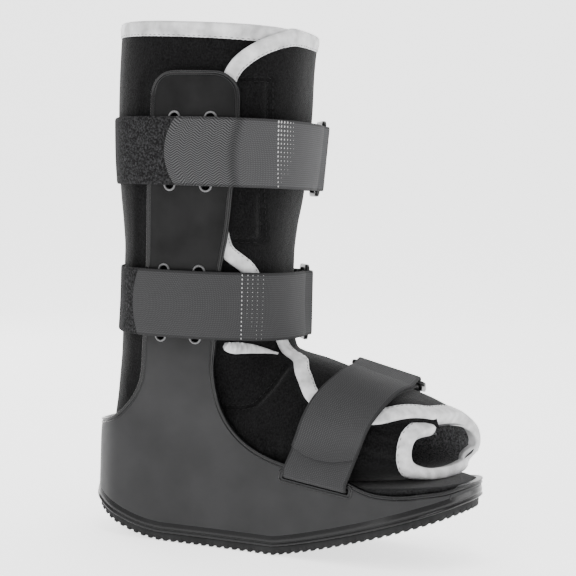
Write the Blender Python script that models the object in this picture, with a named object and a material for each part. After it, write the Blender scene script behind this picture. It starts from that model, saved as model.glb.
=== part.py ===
# Fracture boot: a moulded frame on a rocker outsole, a foam liner and three hook-and-loop straps.
# Lengths here are millimetres, and the meshes are made in metres. X runs to the toe and Z is up.
# The near side, where the strap tails end, is -Y. The origin is on the floor, under the middle
# of the sole. Tables hold shares of the named sizes, a row for each section.

import bpy
import bmesh
import numpy as np

MM = 0.001
GAP = 0.3  # Running gap between pieces that touch

# Sole
SOLE_LENGTH = 300.0
BALL_WIDTH = 102.0
HEEL_WIDTH = 89.0
TOE_SPRING = 43.0
HEEL_RISE = 21.5
FLAT_BACK = -80.0  # The sole is flat on the floor from here
FLAT_FRONT = 8.0  # to here
OUTSOLE_THICK = 6.5
LUG_PITCH = 6.2
LUG_DEPTH = 1.8
LUG_REACH = 7.0  # How far a side lug runs in under the sole

# Frame
SHELL_WALL = 3.2
SHELL_LIP = 1.5  # The frame stands this far out over the outsole
UPRIGHT_TOP = 352.0
UPRIGHT_CORNER = 17.0
FLOOR_HEEL = 34.0  # Height of the frame's floor at the heel
FLOOR_TOE = 57.0
BASE_TOP = 70.0  # The tub keeps the sole's outline up to here
ANKLE_TOP = 150.0  # and the leg's section from here up
RIVET_HOLE = 6.5
CUT_PAST = 10.0  # How far a cutter goes past what it cuts
HOLE_RISE = 49.0
HOLE_SPREAD = 28.0
SLOT_LENGTH = 52.0
SLOT_HEIGHT = 4.6
SLOT_X = 41.0
SLOT_Z = 57.0
SLOT_FALL = 7.5  # Degrees that the slot falls to the toe

# Insole
INSOLE_THICK = 5.0

# Liner
COLLAR_HEIGHT = 387.0
COLLAR_FALL = 5.0  # The collar's front edge is this much lower than its back
LEG_AXIS = -65.0
CALF_DEPTH = 150.0
CALF_WIDTH = 125.0
INSTEP_HEIGHT = 150.0
FOAM = 6.0
FLAP_THICK = 4.0
FLAP_FULL = 12.0  # Degrees on the far side where the panel begins to thin
FLAP_GONE = 46.0
FLAP_STEP = 3.0  # Degrees over which its near edge drops
FLAP_USUAL = -50.0  # Angle of its near edge for which the liner's points are evenly spread
FLAP_SPREAD = 110.0  # Degrees on both sides of that edge over which the points move with it
HOLD_NEAR = 10.0  # The frame holds the liner in this far beyond its edges
HOLD_FADE = 8.0  # and over this much more the liner swells out
ANKLE_SLACK = 1.1  # More room where the frame's wall is waisted,
ANKLE_HEIGHT = 104.0  # at this height
ANKLE_REACH = 32.0  # and as far above and below it

# Straps
STRAP_WIDTH = 50.0
STRAP_THICK = 2.0
STRAP_EASE = 1.0  # Room under a strap for the frame's raised edge
END_DEPTH = 0.6  # Share of the frame's wall that a strap's end goes into its slot
UPPER_STRAP = 294.0  # Heights of the two calf straps
MIDDLE_STRAP = 182.0
STRAP_LINES = (-0.5, -0.25, 0.0, 0.25, 0.5)  # Lines that a strap is made through, across its width
LIFT_FULL = 120.0  # Degrees from the front to which a calf strap clears the frame
LIFT_GONE = 150.0  # and behind which it lies on the liner
STAND_OFF = 3.5  # How much further off the liner the straps stand at the rings
STAND_FULL = 30.0
STAND_GONE = 60.0
TAIL_BULGE = 4.5  # Degrees that a calf tail's round end runs past its corners
RING_BAR = 6.0
RING_END = 4.0  # Width of a ring's short sides
RING_THICK = 3.5
RING_WINDOW = 12.0
RING_CORNER = 3.0  # Cut off a ring's outer corners
WINDOW_CORNER = 1.0
RING_RUN = 7.0  # Length over which webbing rises to a ring's bar
FOLD_SET = 0.7  # From a bar's edge back to the middle of the fold's turn
RING_ANGLE = 33.0  # Degrees from the front to a calf ring's middle
STRAP_START = 98.0  # Degrees from the front to a calf strap's start on the far upright
TAB_START = 86.0
TAB_TAIL = 72.0
UPPER_TAIL = 91.0  # Degrees from the front to the tails' ends on the near side
MIDDLE_TAIL = 112.0
FOOT_RING_ANGLE = 28.0
FOOT_LEAVES = 97.0  # Degrees from the foot's top at which its strap leaves the liner for the wall
FOOT_TAIL_UP = 6.0  # From the frame's edge up to the forefoot tail's end
FOOT_TAIL_ROUND = 7.0  # How much further up its corners are
TAB_TAIL_UP = 14.0
CALF_FALL = 40.0  # Degrees that webbing turns down behind a ring's bar
FOOT_FALL = 25.0
TAB_FALL = 64.0

AROUND = 52  # Points around a section of the frame
LINER_AROUND = 34
HOLE_SIDES = 8

GREY = (0.075, 0.075, 0.08, 1.0)
RUBBER = (0.03, 0.03, 0.03, 1.0)
FOAM_BLACK = (0.02, 0.02, 0.022, 1.0)
WEBBING = (0.085, 0.085, 0.09, 1.0)
RING_BLACK = (0.03, 0.03, 0.032, 1.0)


def columns(names, *rows):
    """A table's columns by name."""
    return dict(zip(names.split(), np.array(rows, float).T))


# Half width of the sole by the angle from the toe, x being half the length times its cosine
SOLE_OUTLINE = columns(
    "angle heel ball",
    (0, 0.0, 0.00),
    (8, 0.0, 0.21),
    (18, 0.0, 0.45),
    (30, 0.0, 0.74),
    (43, 0.0, 0.93),
    (56, 0.0, 1.00),
    (71, 0.1, 0.89),
    (90, 0.5, 0.48),
    (110, 0.95, 0.05),
    (127, 1.0, 0.0),
    (143, 0.93, 0.0),
    (157, 0.69, 0.0),
    (169, 0.37, 0.0),
    (180, 0.0, 0.0),
)

# The leg's outer form: height as a share of the collar's, front and back of the leg's axis as
# shares of half the calf's depth, width as a share of the calf's. Flap is the angle from the
# front at which the overlapping panel ends on the near side
LEG = columns(
    "height front back width square flap",
    (0.30, 0.85, 0.96, 0.82, 2.3, -15),
    (0.40, 0.80, 0.92, 0.86, 2.4, -15),
    (0.48, 0.77, 0.90, 0.90, 2.4, -36),
    (0.57, 0.765, 0.895, 0.93, 2.4, -64),
    (0.62, 0.785, 0.915, 0.95, 2.4, -68),
    (0.685, 0.84, 0.955, 0.98, 2.4, -70),
    (0.76, 0.88, 0.99, 1.0, 2.4, -70),
    (0.84, 0.905, 1.005, 1.0, 2.4, -71),
    (0.92, 0.91, 1.005, 1.0, 2.4, -70),
    (1.00, 0.935, 0.985, 0.99, 2.4, -32),
)

# The foot's sections, turning about the instep from level to upright. Front is the instep line
# and back the heel or the sole: x as shares of half the sole's length, z of the instep's height,
# width of the ball's. Skew moves the far side forward and the near side back, as a share of the
# ball's half width, as the toe opening is cut
FOOT = columns(
    "front_x front_z back_x back_z width square skew flap",
    (-0.030, 1.065, -0.897, 0.90, 1.03, 2.3, 0.0, -15),
    (0.000, 0.990, -0.915, 0.70, 0.96, 2.3, 0.0, -15),
    (0.075, 0.962, -0.940, 0.48, 0.88, 2.4, 0.0, -16),
    (0.150, 0.945, -0.900, 0.30, 0.85, 2.5, 0.0, -29),
    (0.232, 0.920, -0.700, 0.27, 0.84, 2.6, 0.0, -43),
    (0.328, 0.885, -0.330, 0.28, 0.86, 2.7, 0.0, -60),
    (0.440, 0.845, 0.100, 0.33, 0.90, 2.7, 0.0, -69),
    (0.572, 0.810, 0.430, 0.36, 0.91, 2.6, 0.04, -70),
    (0.692, 0.768, 0.630, 0.385, 0.89, 2.6, 0.14, -52),
    (0.777, 0.728, 0.760, 0.405, 0.83, 2.5, 0.25, -30),
    (0.832, 0.700, 0.830, 0.415, 0.78, 2.4, 0.33, -14),
)

# Where the forefoot strap's rear and front edges lie, by the angle from the foot's top, as rows
# of the foot's table
FOREFOOT = columns(
    "angle rear front",
    (0, 4.75, 7.5),
    (45, 4.95, 7.35),
    (80, 5.4, 7.12),
    (100, 5.75, 7.05),
)

# The frame's side outline over the base: x as shares of half the sole's length, z of the top
REAR_EDGE = columns(
    "x z",
    (-1.15, 0.234),
    (-1.02, 0.238),
    (-0.92, 0.247),
    (-0.84, 0.259),
    (-0.775, 0.283),
    (-0.715, 0.316),
    (-0.672, 0.357),
    (-0.652, 0.405),
    (-0.642, 0.475),
    (-0.628, 0.595),
    (-0.620, 0.760),
    (-0.608, 0.900),
)
FRONT_EDGE = columns(
    "x z",
    (-0.165, 0.900),
    (-0.190, 0.757),
    (-0.207, 0.684),
    (-0.232, 0.614),
    (-0.243, 0.580),
    (-0.262, 0.436),
    (-0.268, 0.385),
    (-0.247, 0.320),
    (-0.200, 0.272),
    (-0.118, 0.234),
    (-0.015, 0.209),
    (0.100, 0.195),
    (0.240, 0.186),
    (0.400, 0.176),
    (0.490, 0.161),
    (0.570, 0.152),
    (0.680, 0.151),
    (0.800, 0.158),
    (0.900, 0.164),
    (0.980, 0.174),
    (1.150, 0.186),
)


def follow(at, xs, ys):
    """A smooth curve through a table's points, with no overshoot between them."""
    at = np.asarray(at, float)
    step = np.diff(xs)
    slope = np.diff(ys) / step
    product = slope[:-1] * slope[1:]
    total = np.where(product > 0, slope[:-1] + slope[1:], 1.0)
    inner = np.where(product > 0, 2 * product / total, 0.0)
    tangent = np.concatenate([slope[:1], inner, slope[-1:]])
    i = np.clip(np.searchsorted(xs, at) - 1, 0, len(step) - 1)
    t = (at - xs[i]) / step[i]
    return (
        (1 + 2 * t) * (1 - t) ** 2 * ys[i]
        + t * (1 - t) ** 2 * step[i] * tangent[i]
        + t * t * (3 - 2 * t) * ys[i + 1]
        + t * t * (t - 1) * step[i] * tangent[i + 1]
    )


def ease(t):
    """0 to 1 with level ends."""
    t = np.clip(t, 0.0, 1.0)
    return t * t * (3 - 2 * t)


def rounded(angle, square):
    """The cosine and sine of a superellipse, for angles in degrees."""
    c = np.cos(np.radians(angle))
    s = np.sin(np.radians(angle))
    power = 2.0 / square
    return np.sign(c) * np.abs(c) ** power, np.sign(s) * np.abs(s) ** power


# Forms that the pieces share


def sole_plan(angle, lift=0.0):
    """The sole's outline, at an angle from the toe, moved out by a lift."""
    turn = np.abs((np.asarray(angle, float) + 180) % 360 - 180)
    heel = follow(turn, SOLE_OUTLINE["angle"], SOLE_OUTLINE["heel"]) * HEEL_WIDTH / 2
    ball = follow(turn, SOLE_OUTLINE["angle"], SOLE_OUTLINE["ball"]) * BALL_WIDTH / 2
    side = np.sign(np.sin(np.radians(angle)))
    x = (SOLE_LENGTH / 2 + lift) * np.cos(np.radians(angle))
    return x, side * (heel + ball) * (1 + 2 * lift / BALL_WIDTH)


def rocker(x):
    """Height of the outsole's underside."""
    front = np.clip((x - FLAT_FRONT) / (SOLE_LENGTH / 2 - FLAT_FRONT), 0, None)
    back = np.clip((FLAT_BACK - x) / (FLAT_BACK + SOLE_LENGTH / 2), 0, None)
    return TOE_SPRING * front**1.2 + HEEL_RISE * back**1.7


def floor_height(x):
    """The frame's floor, on which the insole lies."""
    return FLOOR_HEEL + (FLOOR_TOE - FLOOR_HEEL) * (x / SOLE_LENGTH + 0.5)


def leg_plan(z, angle, lift=0.0):
    """The leg's section at a height, at an angle from the front, moved out by a lift."""
    share = np.asarray(z, float) / COLLAR_HEIGHT
    front = follow(share, LEG["height"], LEG["front"]) * CALF_DEPTH / 2
    back = follow(share, LEG["height"], LEG["back"]) * CALF_DEPTH / 2
    half = follow(share, LEG["height"], LEG["width"]) * CALF_WIDTH / 2
    c, s = rounded(angle, follow(share, LEG["height"], LEG["square"]))
    depth = np.where(c > 0, front, back)
    return LEG_AXIS + (depth + lift) * c, (half + lift) * s


def shell_plan(z, angle, inset):
    """The frame's section at a height, moved in from its outer face by an inset."""
    sole_x, sole_y = sole_plan(angle, SHELL_LIP - inset)
    leg_x, leg_y = leg_plan(z, angle, GAP + SHELL_WALL - inset)
    part = ease((np.asarray(z, float) - BASE_TOP) / (ANKLE_TOP - BASE_TOP))
    return sole_x + (leg_x - sole_x) * part, sole_y + (leg_y - sole_y) * part


def shell_reach(x, y, z, inset):
    """How far out the frame's section lies along the way from its middle to each point."""
    ring = np.linspace(-180, 180, 181)
    reach = np.empty(len(x))
    for i in range(len(x)):
        ring_x, ring_y = shell_plan(z[i], ring, inset[i])
        middle = (ring_x.max() + ring_x.min()) / 2
        way = np.arctan2(ring_y, ring_x - middle)
        order = np.argsort(way)
        far = np.hypot(ring_y, ring_x - middle)
        here = np.arctan2(y[i], x[i] - middle)
        reach[i] = np.interp(here, way[order], far[order]) / max(np.hypot(y[i], x[i] - middle), 1e-6)
    return reach


def side_outline():
    """The frame's side outline, as points from the heel over the upright to the toe."""
    rear_t = np.linspace(0, len(REAR_EDGE["x"]) - 1, 25)
    front_t = np.linspace(0, len(FRONT_EDGE["x"]) - 1, 40)
    rows = np.arange(len(REAR_EDGE["x"]), dtype=float)
    rear = [(follow(t, rows, REAR_EDGE["x"]), follow(t, rows, REAR_EDGE["z"])) for t in rear_t]
    rows = np.arange(len(FRONT_EDGE["x"]), dtype=float)
    front = [(follow(t, rows, FRONT_EDGE["x"]), follow(t, rows, FRONT_EDGE["z"])) for t in front_t]
    scale = np.array([SOLE_LENGTH / 2, UPRIGHT_TOP])
    rear = np.array(rear) * scale
    front = np.array(front) * scale
    top = []
    for corner_x, side, turns in ((rear[-1][0], 1, (180, 90)), (front[0][0], -1, (90, 0))):
        middle = np.array([corner_x + side * UPRIGHT_CORNER, UPRIGHT_TOP - UPRIGHT_CORNER])
        for turn in np.radians(np.linspace(*turns, 6)):
            top.append(middle + UPRIGHT_CORNER * np.array([np.cos(turn), np.sin(turn)]))
    return np.concatenate([rear, top, front])


# Mesh makers


def material(name, colour, roughness):
    made = bpy.data.materials.new(name)
    made.use_nodes = True
    shader = made.node_tree.nodes["Principled BSDF"]
    shader.inputs["Base Color"].default_value = colour
    shader.inputs["Roughness"].default_value = roughness
    shader.inputs["Metallic"].default_value = 0.0
    made.diffuse_color = colour
    return made


def add_mesh(name, points, faces, finish=None):
    """A closed mesh with its faces turned out."""
    mesh = bpy.data.meshes.new(name)
    mesh.from_pydata((np.asarray(points, float) * MM).tolist(), [], faces)
    made = bmesh.new()
    made.from_mesh(mesh)
    bmesh.ops.recalc_face_normals(made, faces=made.faces)
    made.to_mesh(mesh)
    made.free()
    piece = bpy.data.objects.new(name, mesh)
    bpy.context.scene.collection.objects.link(piece)
    if finish:
        mesh.materials.append(finish)
        mesh.shade_smooth()
        mesh.set_sharp_from_angle(angle=np.radians(35))
    return piece


def ring_faces(rings, around, first=0):
    """Quads between rings of points that follow one another."""
    faces = []
    for i in range(rings - 1):
        for k in range(around):
            a = first + i * around + k
            b = first + i * around + (k + 1) % around
            faces.append((a, b, b + around, a + around))
    return faces


def cap_faces(around, first=0):
    """Strips across a ring whose points mirror each other about the middle line."""
    faces = []
    for k in range(around // 2):
        a, b = first + k, first + k + 1
        c, d = first + (around - k - 1) % around, first + (around - k) % around
        faces.append(tuple(dict.fromkeys((a, b, c, d))))
    return faces


def loft(name, rings, finish=None):
    """A solid through rings, closed by strips across its first and last."""
    around = len(rings[0])
    points = np.concatenate(rings)
    last = (len(rings) - 1) * around
    faces = ring_faces(len(rings), around) + cap_faces(around) + cap_faces(around, last)
    return add_mesh(name, points, faces, finish)


def tube(name, outer, inner, finish):
    """A hollow solid between two families of rings, open at both ends."""
    around = len(outer[0])
    count = len(outer)
    points = np.concatenate(list(outer) + list(inner))
    inside = count * around
    faces = ring_faces(count, around) + ring_faces(count, around, inside)
    for end in (0, (count - 1) * around):
        for k in range(around):
            a, b = end + k, end + (k + 1) % around
            faces.append((a, b, b + inside, a + inside))
    return add_mesh(name, points, faces, finish)


def prism(name, outline, half):
    """An outline in X and Z, run through from side to side."""
    count = len(outline)
    points = [(x, side * half, z) for side in (-1, 1) for x, z in outline]
    faces = ring_faces(2, count)
    faces += [tuple(range(count)), tuple(range(count, 2 * count))]
    return add_mesh(name, points, faces)


def ribbon(name, lines, thick, finish):
    """Webbing along lines of points that lie side by side across its width."""
    lines = np.array(lines)
    along = np.gradient(lines, axis=1)
    across = np.gradient(lines, axis=0)
    out = np.cross(across, along)
    out /= np.linalg.norm(out, axis=2, keepdims=True)
    faces = []
    rows, count = lines.shape[:2]
    row = 2 * count
    points = np.concatenate([lines + out * thick / 2, lines - out * thick / 2], axis=1)
    for k in range(rows - 1):
        for i in range(count - 1):
            for face in (0, count):
                a = k * row + face + i
                faces.append((a, a + 1, a + 1 + row, a + row))
        for i in (0, count - 1):
            a = k * row + i
            faces.append((a, a + row, a + row + count, a + count))
    for k in (0, rows - 1):
        for i in range(count - 1):
            a = k * row + i
            faces.append((a, a + 1, a + 1 + count, a + count))
    return add_mesh(name, points.reshape(-1, 3), faces, finish)


def ring_plate(name, frame, finish):
    """A flat rectangular ring with cut corners."""
    middle, around, across, _ = frame
    out = np.cross(around, across)
    hole = np.array([RING_WINDOW / 2, STRAP_WIDTH / 2 + 2 * GAP])
    rim = hole + np.array([RING_BAR, RING_END])
    points = []
    loops = ((rim, RING_CORNER, 1), (hole, WINDOW_CORNER, 1), (hole, WINDOW_CORNER, -1), (rim, RING_CORNER, -1))
    for half, cut, side in loops:
        for u, v, first in ((1, 1, 0), (-1, 1, 1), (-1, -1, 0), (1, -1, 1)):
            corner = [(half[0] * u, (half[1] - cut) * v), ((half[0] - cut) * u, half[1] * v)]
            for a, b in corner if not first else corner[::-1]:
                points.append(middle + around * a + across * b + out * side * RING_THICK / 2)
    faces = ring_faces(4, 8) + [(24 + k, 24 + (k + 1) % 8, (k + 1) % 8, k) for k in range(8)]
    return add_mesh(name, points, faces, finish)


def hook(bar, way, out, fall):
    """Points of webbing round a ring's bar: under it, round its far edge, back over it and down
    behind it by an angle."""
    turn = (RING_THICK + STRAP_THICK) / 2 + GAP
    far = RING_BAR / 2 - FOLD_SET
    points = [bar - way * RING_BAR / 2 - out * turn]
    for psi in np.linspace(0, np.pi, 7):
        points.append(bar + way * (far + turn * np.sin(psi)) - out * turn * np.cos(psi))
    corner = bar - way * RING_BAR / 2 + out * RING_THICK / 2
    reach = STRAP_THICK / 2 + 1.4 * GAP
    for psi in np.radians(np.linspace(0, fall, 1 + int(np.ceil(fall / 30)))):
        points.append(corner + (out * np.cos(psi) - way * np.sin(psi)) * reach)
    return points


def combine(piece, cutter, operation):
    """Apply a Boolean and remove the cutter."""
    change = piece.modifiers.new(operation, "BOOLEAN")
    change.operation = operation
    change.object = cutter
    change.solver = "EXACT"
    depsgraph = bpy.context.evaluated_depsgraph_get()
    depsgraph.update()
    made = bpy.data.meshes.new_from_object(piece.evaluated_get(depsgraph))
    piece.modifiers.clear()
    old = piece.data
    piece.data = made
    bpy.data.meshes.remove(old)
    bpy.data.objects.remove(cutter, do_unlink=True)


# Pieces


def build_outsole(finish):
    """Rubber rocker, its edge cut into lugs."""
    fine = np.linspace(3, 177, 2000)
    x, y = sole_plan(fine)
    run = np.concatenate([[0], np.cumsum(np.hypot(np.diff(x), np.diff(y)))])
    count = int(run[-1] / LUG_PITCH) * 2 + 1
    stations = np.interp(np.linspace(0, run[-1], count), run, fine)
    rings = []
    for i, angle in enumerate(stations):
        x, half = sole_plan(angle)
        low = rocker(x)
        notch = LUG_DEPTH * (i % 2)
        reach = min(LUG_REACH, 0.7 * half)
        side = (
            (half - reach, low),
            (half - notch, low + notch),
            (half, low + 2 * LUG_DEPTH),
            (half, low + OUTSOLE_THICK),
        )
        ring = [(x, y, z) for y, z in side] + [(x, -y, z) for y, z in reversed(side)]
        rings.append(np.array(ring))
    points = np.concatenate(rings)
    around = len(rings[0])
    faces = ring_faces(len(rings), around)
    faces += [tuple(range(around)), tuple(range(len(points) - around, len(points)))]
    return add_mesh("outsole", points, faces, finish)


def shell_ring(height, inset, angles):
    """One level of the frame's form. The height is a number, or a function of x."""
    level = height if np.isscalar(height) else BASE_TOP
    x, y = shell_plan(np.full(len(angles), float(level)), angles, inset)
    z = np.full(len(angles), float(height)) if np.isscalar(height) else height(x)
    return np.stack([x, y, z], axis=1)


def build_shell(finish):
    """One moulded tub with two uprights, cut from its form by the side outline."""
    angles = np.arange(AROUND) * 360.0 / AROUND
    top = UPRIGHT_TOP + CUT_PAST
    levels = list(np.linspace(BASE_TOP, ANKLE_TOP, 7)) + list(np.linspace(ANKLE_TOP, top, 9))[1:]
    under = lambda x: rocker(x) + OUTSOLE_THICK + GAP
    shell = loft("shell", [shell_ring(h, 0.0, angles) for h in [under] + levels], finish)
    outline = side_outline()
    reach = SOLE_LENGTH
    block = [(-reach, -reach)] + [(-reach, outline[0][1])] + list(outline)
    block += [(reach, outline[-1][1]), (reach, -reach)]
    combine(shell, prism("profile", block, BALL_WIDTH), "INTERSECT")
    hollow = loft("hollow", [shell_ring(h, SHELL_WALL, angles) for h in [floor_height] + levels + [top + CUT_PAST / 2]])
    combine(shell, hollow, "DIFFERENCE")
    combine(shell, slot_cutter(), "DIFFERENCE")
    for height in (UPPER_STRAP, MIDDLE_STRAP):
        for row in (-1, 1):
            for column in (-1, 1):
                combine(shell, hole_cutter(height, row, column), "DIFFERENCE")
    return shell


def slot_cutter():
    """The forefoot strap's slot, through both sides of the tub."""
    turn = np.radians(-SLOT_FALL)
    half = np.array([SLOT_LENGTH / 2, SLOT_HEIGHT / 2])
    corners = np.array([(-1, -1), (1, -1), (1, 1), (-1, 1)]) * half
    outline = [
        (
            SLOT_X + u * np.cos(turn) - v * np.sin(turn),
            SLOT_Z + u * np.sin(turn) + v * np.cos(turn),
        )
        for u, v in corners
    ]
    return prism("slot", outline, BALL_WIDTH)


def hole_cutter(height, row, column):
    """A rivet hole through both uprights."""
    z = height + row * HOLE_RISE / 2
    x = upright_middle(z) + column * HOLE_SPREAD / 2
    turns = np.radians((np.arange(HOLE_SIDES) + 0.5) * 360 / HOLE_SIDES)
    outline = [(x + RIVET_HOLE / 2 * np.cos(t), z + RIVET_HOLE / 2 * np.sin(t)) for t in turns]
    return prism("hole", outline, CALF_WIDTH)


def upright_middle(height):
    """X of the middle of the uprights at a height."""
    outline = side_outline()
    at_rear = outline[outline[:, 0] < LEG_AXIS]
    at_front = outline[outline[:, 0] > LEG_AXIS][::-1]
    low = at_front[:, 1] > BASE_TOP
    rear = np.interp(height, at_rear[:, 1], at_rear[:, 0])
    return (rear + np.interp(height, at_front[low][:, 1], at_front[low][:, 0])) / 2


def build_insole(finish):
    """A flat foam pad on the frame's floor."""
    angles = np.arange(AROUND) * 360.0 / AROUND
    inset = SHELL_WALL + GAP
    rings = [
        shell_ring(lambda x: floor_height(x) + GAP, inset, angles),
        shell_ring(lambda x: floor_height(x) + GAP + INSOLE_THICK, inset, angles),
    ]
    return loft("insole", rings, finish)


def insole_top(x):
    return floor_height(x) + GAP + INSOLE_THICK


def liner_sections():
    """The liner's sections from the collar down and out to the toe, as dictionaries."""
    sections = []
    for share in (1.0, 0.985, 0.96, 0.92, 0.86, 0.76, 0.685, 0.62, 0.57, 0.52, 0.47):
        z = share * COLLAR_HEIGHT
        tilt = COLLAR_FALL / 2 * ease((share - 0.86) / 0.14)
        sections.append(
            {
                "front": np.array([leg_plan(z, 0.0)[0], z - tilt]),
                "back": np.array([leg_plan(z, 180.0)[0], z + tilt]),
                "half": leg_plan(z, 90.0)[1],
                "square": follow(share, LEG["height"], LEG["square"]),
                "skew": 0.0,
                "flap": follow(share, LEG["height"], LEG["flap"]),
            }
        )
    for t in np.linspace(0, len(FOOT["front_x"]) - 1, 12):
        sections.append(foot_section(t))
    return sections


def foot_section(t):
    """The foot's section at a place in its table, which may lie between two rows."""
    rows = np.arange(len(FOOT["front_x"]), dtype=float)
    row = {name: float(follow(t, rows, values)) for name, values in FOOT.items()}
    scale = np.array([SOLE_LENGTH / 2, INSTEP_HEIGHT])
    return {
        "front": np.array([row["front_x"], row["front_z"]]) * scale,
        "back": np.array([row["back_x"], row["back_z"]]) * scale,
        "half": row["width"] * BALL_WIDTH / 2,
        "square": row["square"],
        "skew": row["skew"] * BALL_WIDTH / 2,
        "flap": row["flap"],
    }


def flap_lift(angle):
    """Height of the overlapping panel over the liner: full at its near edge, gone on the far side."""
    return FLAP_THICK * (1 - ease((angle - FLAP_FULL) / (FLAP_GONE - FLAP_FULL)))


def section_point(section, angles, lift):
    """Points of one section, moved out by a lift that may differ by angle."""
    c, s = rounded(angles, section["square"])
    middle = (section["front"] + section["back"]) / 2
    reach = np.linalg.norm(section["front"] - section["back"]) / 2
    way = (section["front"] - section["back"]) / (2 * reach)
    x = middle[0] + way[0] * (reach + lift) * c + section["skew"] * s
    z = middle[1] + way[1] * (reach + lift) * c
    return np.stack([x, (section["half"] + lift) * s, z], axis=-1)


def outline_height(x):
    """Height of the frame's edge over the base at a place along it, ahead of or behind the uprights."""
    outline = side_outline()
    order = np.argsort(outline[:, 0])
    return np.interp(x, outline[order][:, 0], outline[order][:, 1])


def frame_hold(x, z):
    """1 inside the frame's side outline and close to it, falling to 0 clear of it."""
    outline = side_outline()
    ends = [(-SOLE_LENGTH, 0), (-SOLE_LENGTH, outline[0][1]), (SOLE_LENGTH, outline[-1][1]), (SOLE_LENGTH, 0)]
    start = np.concatenate([ends[:2], outline, ends[2:]])
    along = np.roll(start, -1, axis=0) - start
    off = np.stack([x, z], axis=-1)[:, None] - start
    part = np.clip((off * along).sum(axis=2) / (along**2).sum(axis=1), 0, 1)
    near = np.linalg.norm(off - along * part[..., None], axis=2).min(axis=1)
    above = off[..., 1] >= 0
    crossed = above != (off[..., 1] >= along[:, 1])
    rise = np.where(along[:, 1] == 0, 1, along[:, 1])
    inside = (crossed & (off[..., 0] < off[..., 1] / rise * along[:, 0])).sum(axis=1) % 2 == 1
    return 1 - ease((np.where(inside, -near, near) - HOLD_NEAR) / HOLD_FADE)


def fit_in_frame(points, inset):
    """Draw points in behind the frame's wall and over the insole."""
    held = points.copy()
    held[:, 2] = np.maximum(held[:, 2], insole_top(held[:, 0]) + GAP + inset)
    hold = frame_hold(held[:, 0], held[:, 2])
    low = hold > 0
    if low.any():
        x, y, z = held[low].T
        slack = ANKLE_SLACK * (1 - ease(np.abs(z - ANKLE_HEIGHT) / ANKLE_REACH))
        share = np.minimum(shell_reach(x, y, z, SHELL_WALL + 2 * GAP + slack + inset), 1.0)
        share = 1 + (share - 1) * hold[low]
        middle = np.array([shell_plan(h, np.array([0.0, 180.0]), 0.0)[0].mean() for h in z])
        held[low, 0] = middle + (x - middle) * share
        held[low, 1] = y * share
    return held


def liner_angles(flap):
    """Angles round a section, from the panel's near edge. Only points near that edge move with it."""
    past = np.linspace(0, 360 - FLAP_STEP, LINER_AROUND)
    beside = np.minimum(past, past[::-1])
    return FLAP_USUAL + past + (flap - FLAP_USUAL) * (1 - ease(beside / FLAP_SPREAD))


def build_liner(finish):
    """The foam bootie: one wall from the collar round the heel to the open toe, its far panel
    lapping over the near one."""
    outer, inner = [], []
    for section in liner_sections():
        angles = liner_angles(section["flap"])
        lift = flap_lift(angles)
        outer.append(fit_in_frame(section_point(section, angles, lift), 0.0))
        inner.append(fit_in_frame(section_point(section, angles, np.full(LINER_AROUND, -FOAM)), FOAM))
    return tube("liner", outer, inner, finish)


def calf_lift(angle):
    """Lift of a calf strap's middle: over the uprights and the panel, and down on the liner behind."""
    turn = abs((angle + 180) % 360 - 180)
    over = SHELL_WALL + 2 * GAP + STRAP_EASE + STRAP_THICK / 2
    under = 3 * GAP + STRAP_THICK / 2
    proud = STAND_OFF * ease((STAND_GONE - turn) / (STAND_GONE - STAND_FULL))
    return under + (over - under) * ease((LIFT_GONE - turn) / (LIFT_GONE - LIFT_FULL)) + proud


def ring_lift(strap_lift):
    """Lift of a ring's middle plane over webbing whose middle has the lift given."""
    return strap_lift + STRAP_THICK / 2 + GAP + RING_THICK / 2


def calf_point(z, angle, lift):
    x, y = leg_plan(z, angle, lift)
    return np.array([x, y, z], float)


def calf_ring_frame(height):
    """Middle, way around, way across and angle of a calf ring."""
    lift = ring_lift(calf_lift(RING_ANGLE))
    ahead = calf_point(height, RING_ANGLE + 5, lift) - calf_point(height, RING_ANGLE - 5, lift)
    top = calf_point(height + STRAP_WIDTH / 2, RING_ANGLE, lift)
    bottom = calf_point(height - STRAP_WIDTH / 2, RING_ANGLE, lift)
    return square_frame((top + bottom) / 2, ahead, top - bottom, RING_ANGLE)


def square_frame(middle, around, across, angle):
    """A ring's frame, with its two ways made square to each other."""
    around = around / np.linalg.norm(around)
    across = across - around * (across @ around)
    return middle, around, across / np.linalg.norm(across), angle


def turn_off(point, ring, way):
    """Angle at which webbing leaves its form for a bar of the ring."""
    per_degree = np.linalg.norm(point(ring + 5) - point(ring - 5)) / 10
    return ring - way * (RING_WINDOW / 2 + RING_BAR + RING_RUN) / per_degree


def strap_line(point, start, tail, steps, ring, way, shift):
    """A strap's middle line: from its start to the ring, round a bar and back to its tail.

    point(angle, extra) gives the line's place, ring the ring's frame, way the side of the ring
    that it comes from, and shift how far across the ring the line lies.
    """
    middle, around, across, angle = ring
    out = np.cross(around, across)
    bar = middle + across * shift - around * way * (RING_WINDOW + RING_BAR) / 2
    stop = turn_off(lambda a: point(a, 0), angle, way)
    inner = [point(a, 0) for a in np.linspace(start, stop, steps[0])]
    outer = [point(a, STRAP_THICK + 2 * GAP) for a in np.linspace(stop, tail, steps[1])]
    return inner + hook(bar, around * way, out, CALF_FALL) + outer


def build_calf_strap(name, height, tail, finish):
    """A strap from the far upright round the back and the front, through its ring and back."""
    lines = []
    for shift in STRAP_LINES:
        z = height + shift * STRAP_WIDTH
        end = -tail - TAIL_BULGE * (1 - (2 * shift) ** 2)
        place = lambda angle, extra: calf_point(z, angle, calf_lift(angle) + extra)
        across = shift * STRAP_WIDTH
        lines.append(strap_line(place, STRAP_START - 360, end, (25, 12), calf_ring_frame(height), 1, across))
    return ribbon(name, lines, STRAP_THICK, finish)


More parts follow.
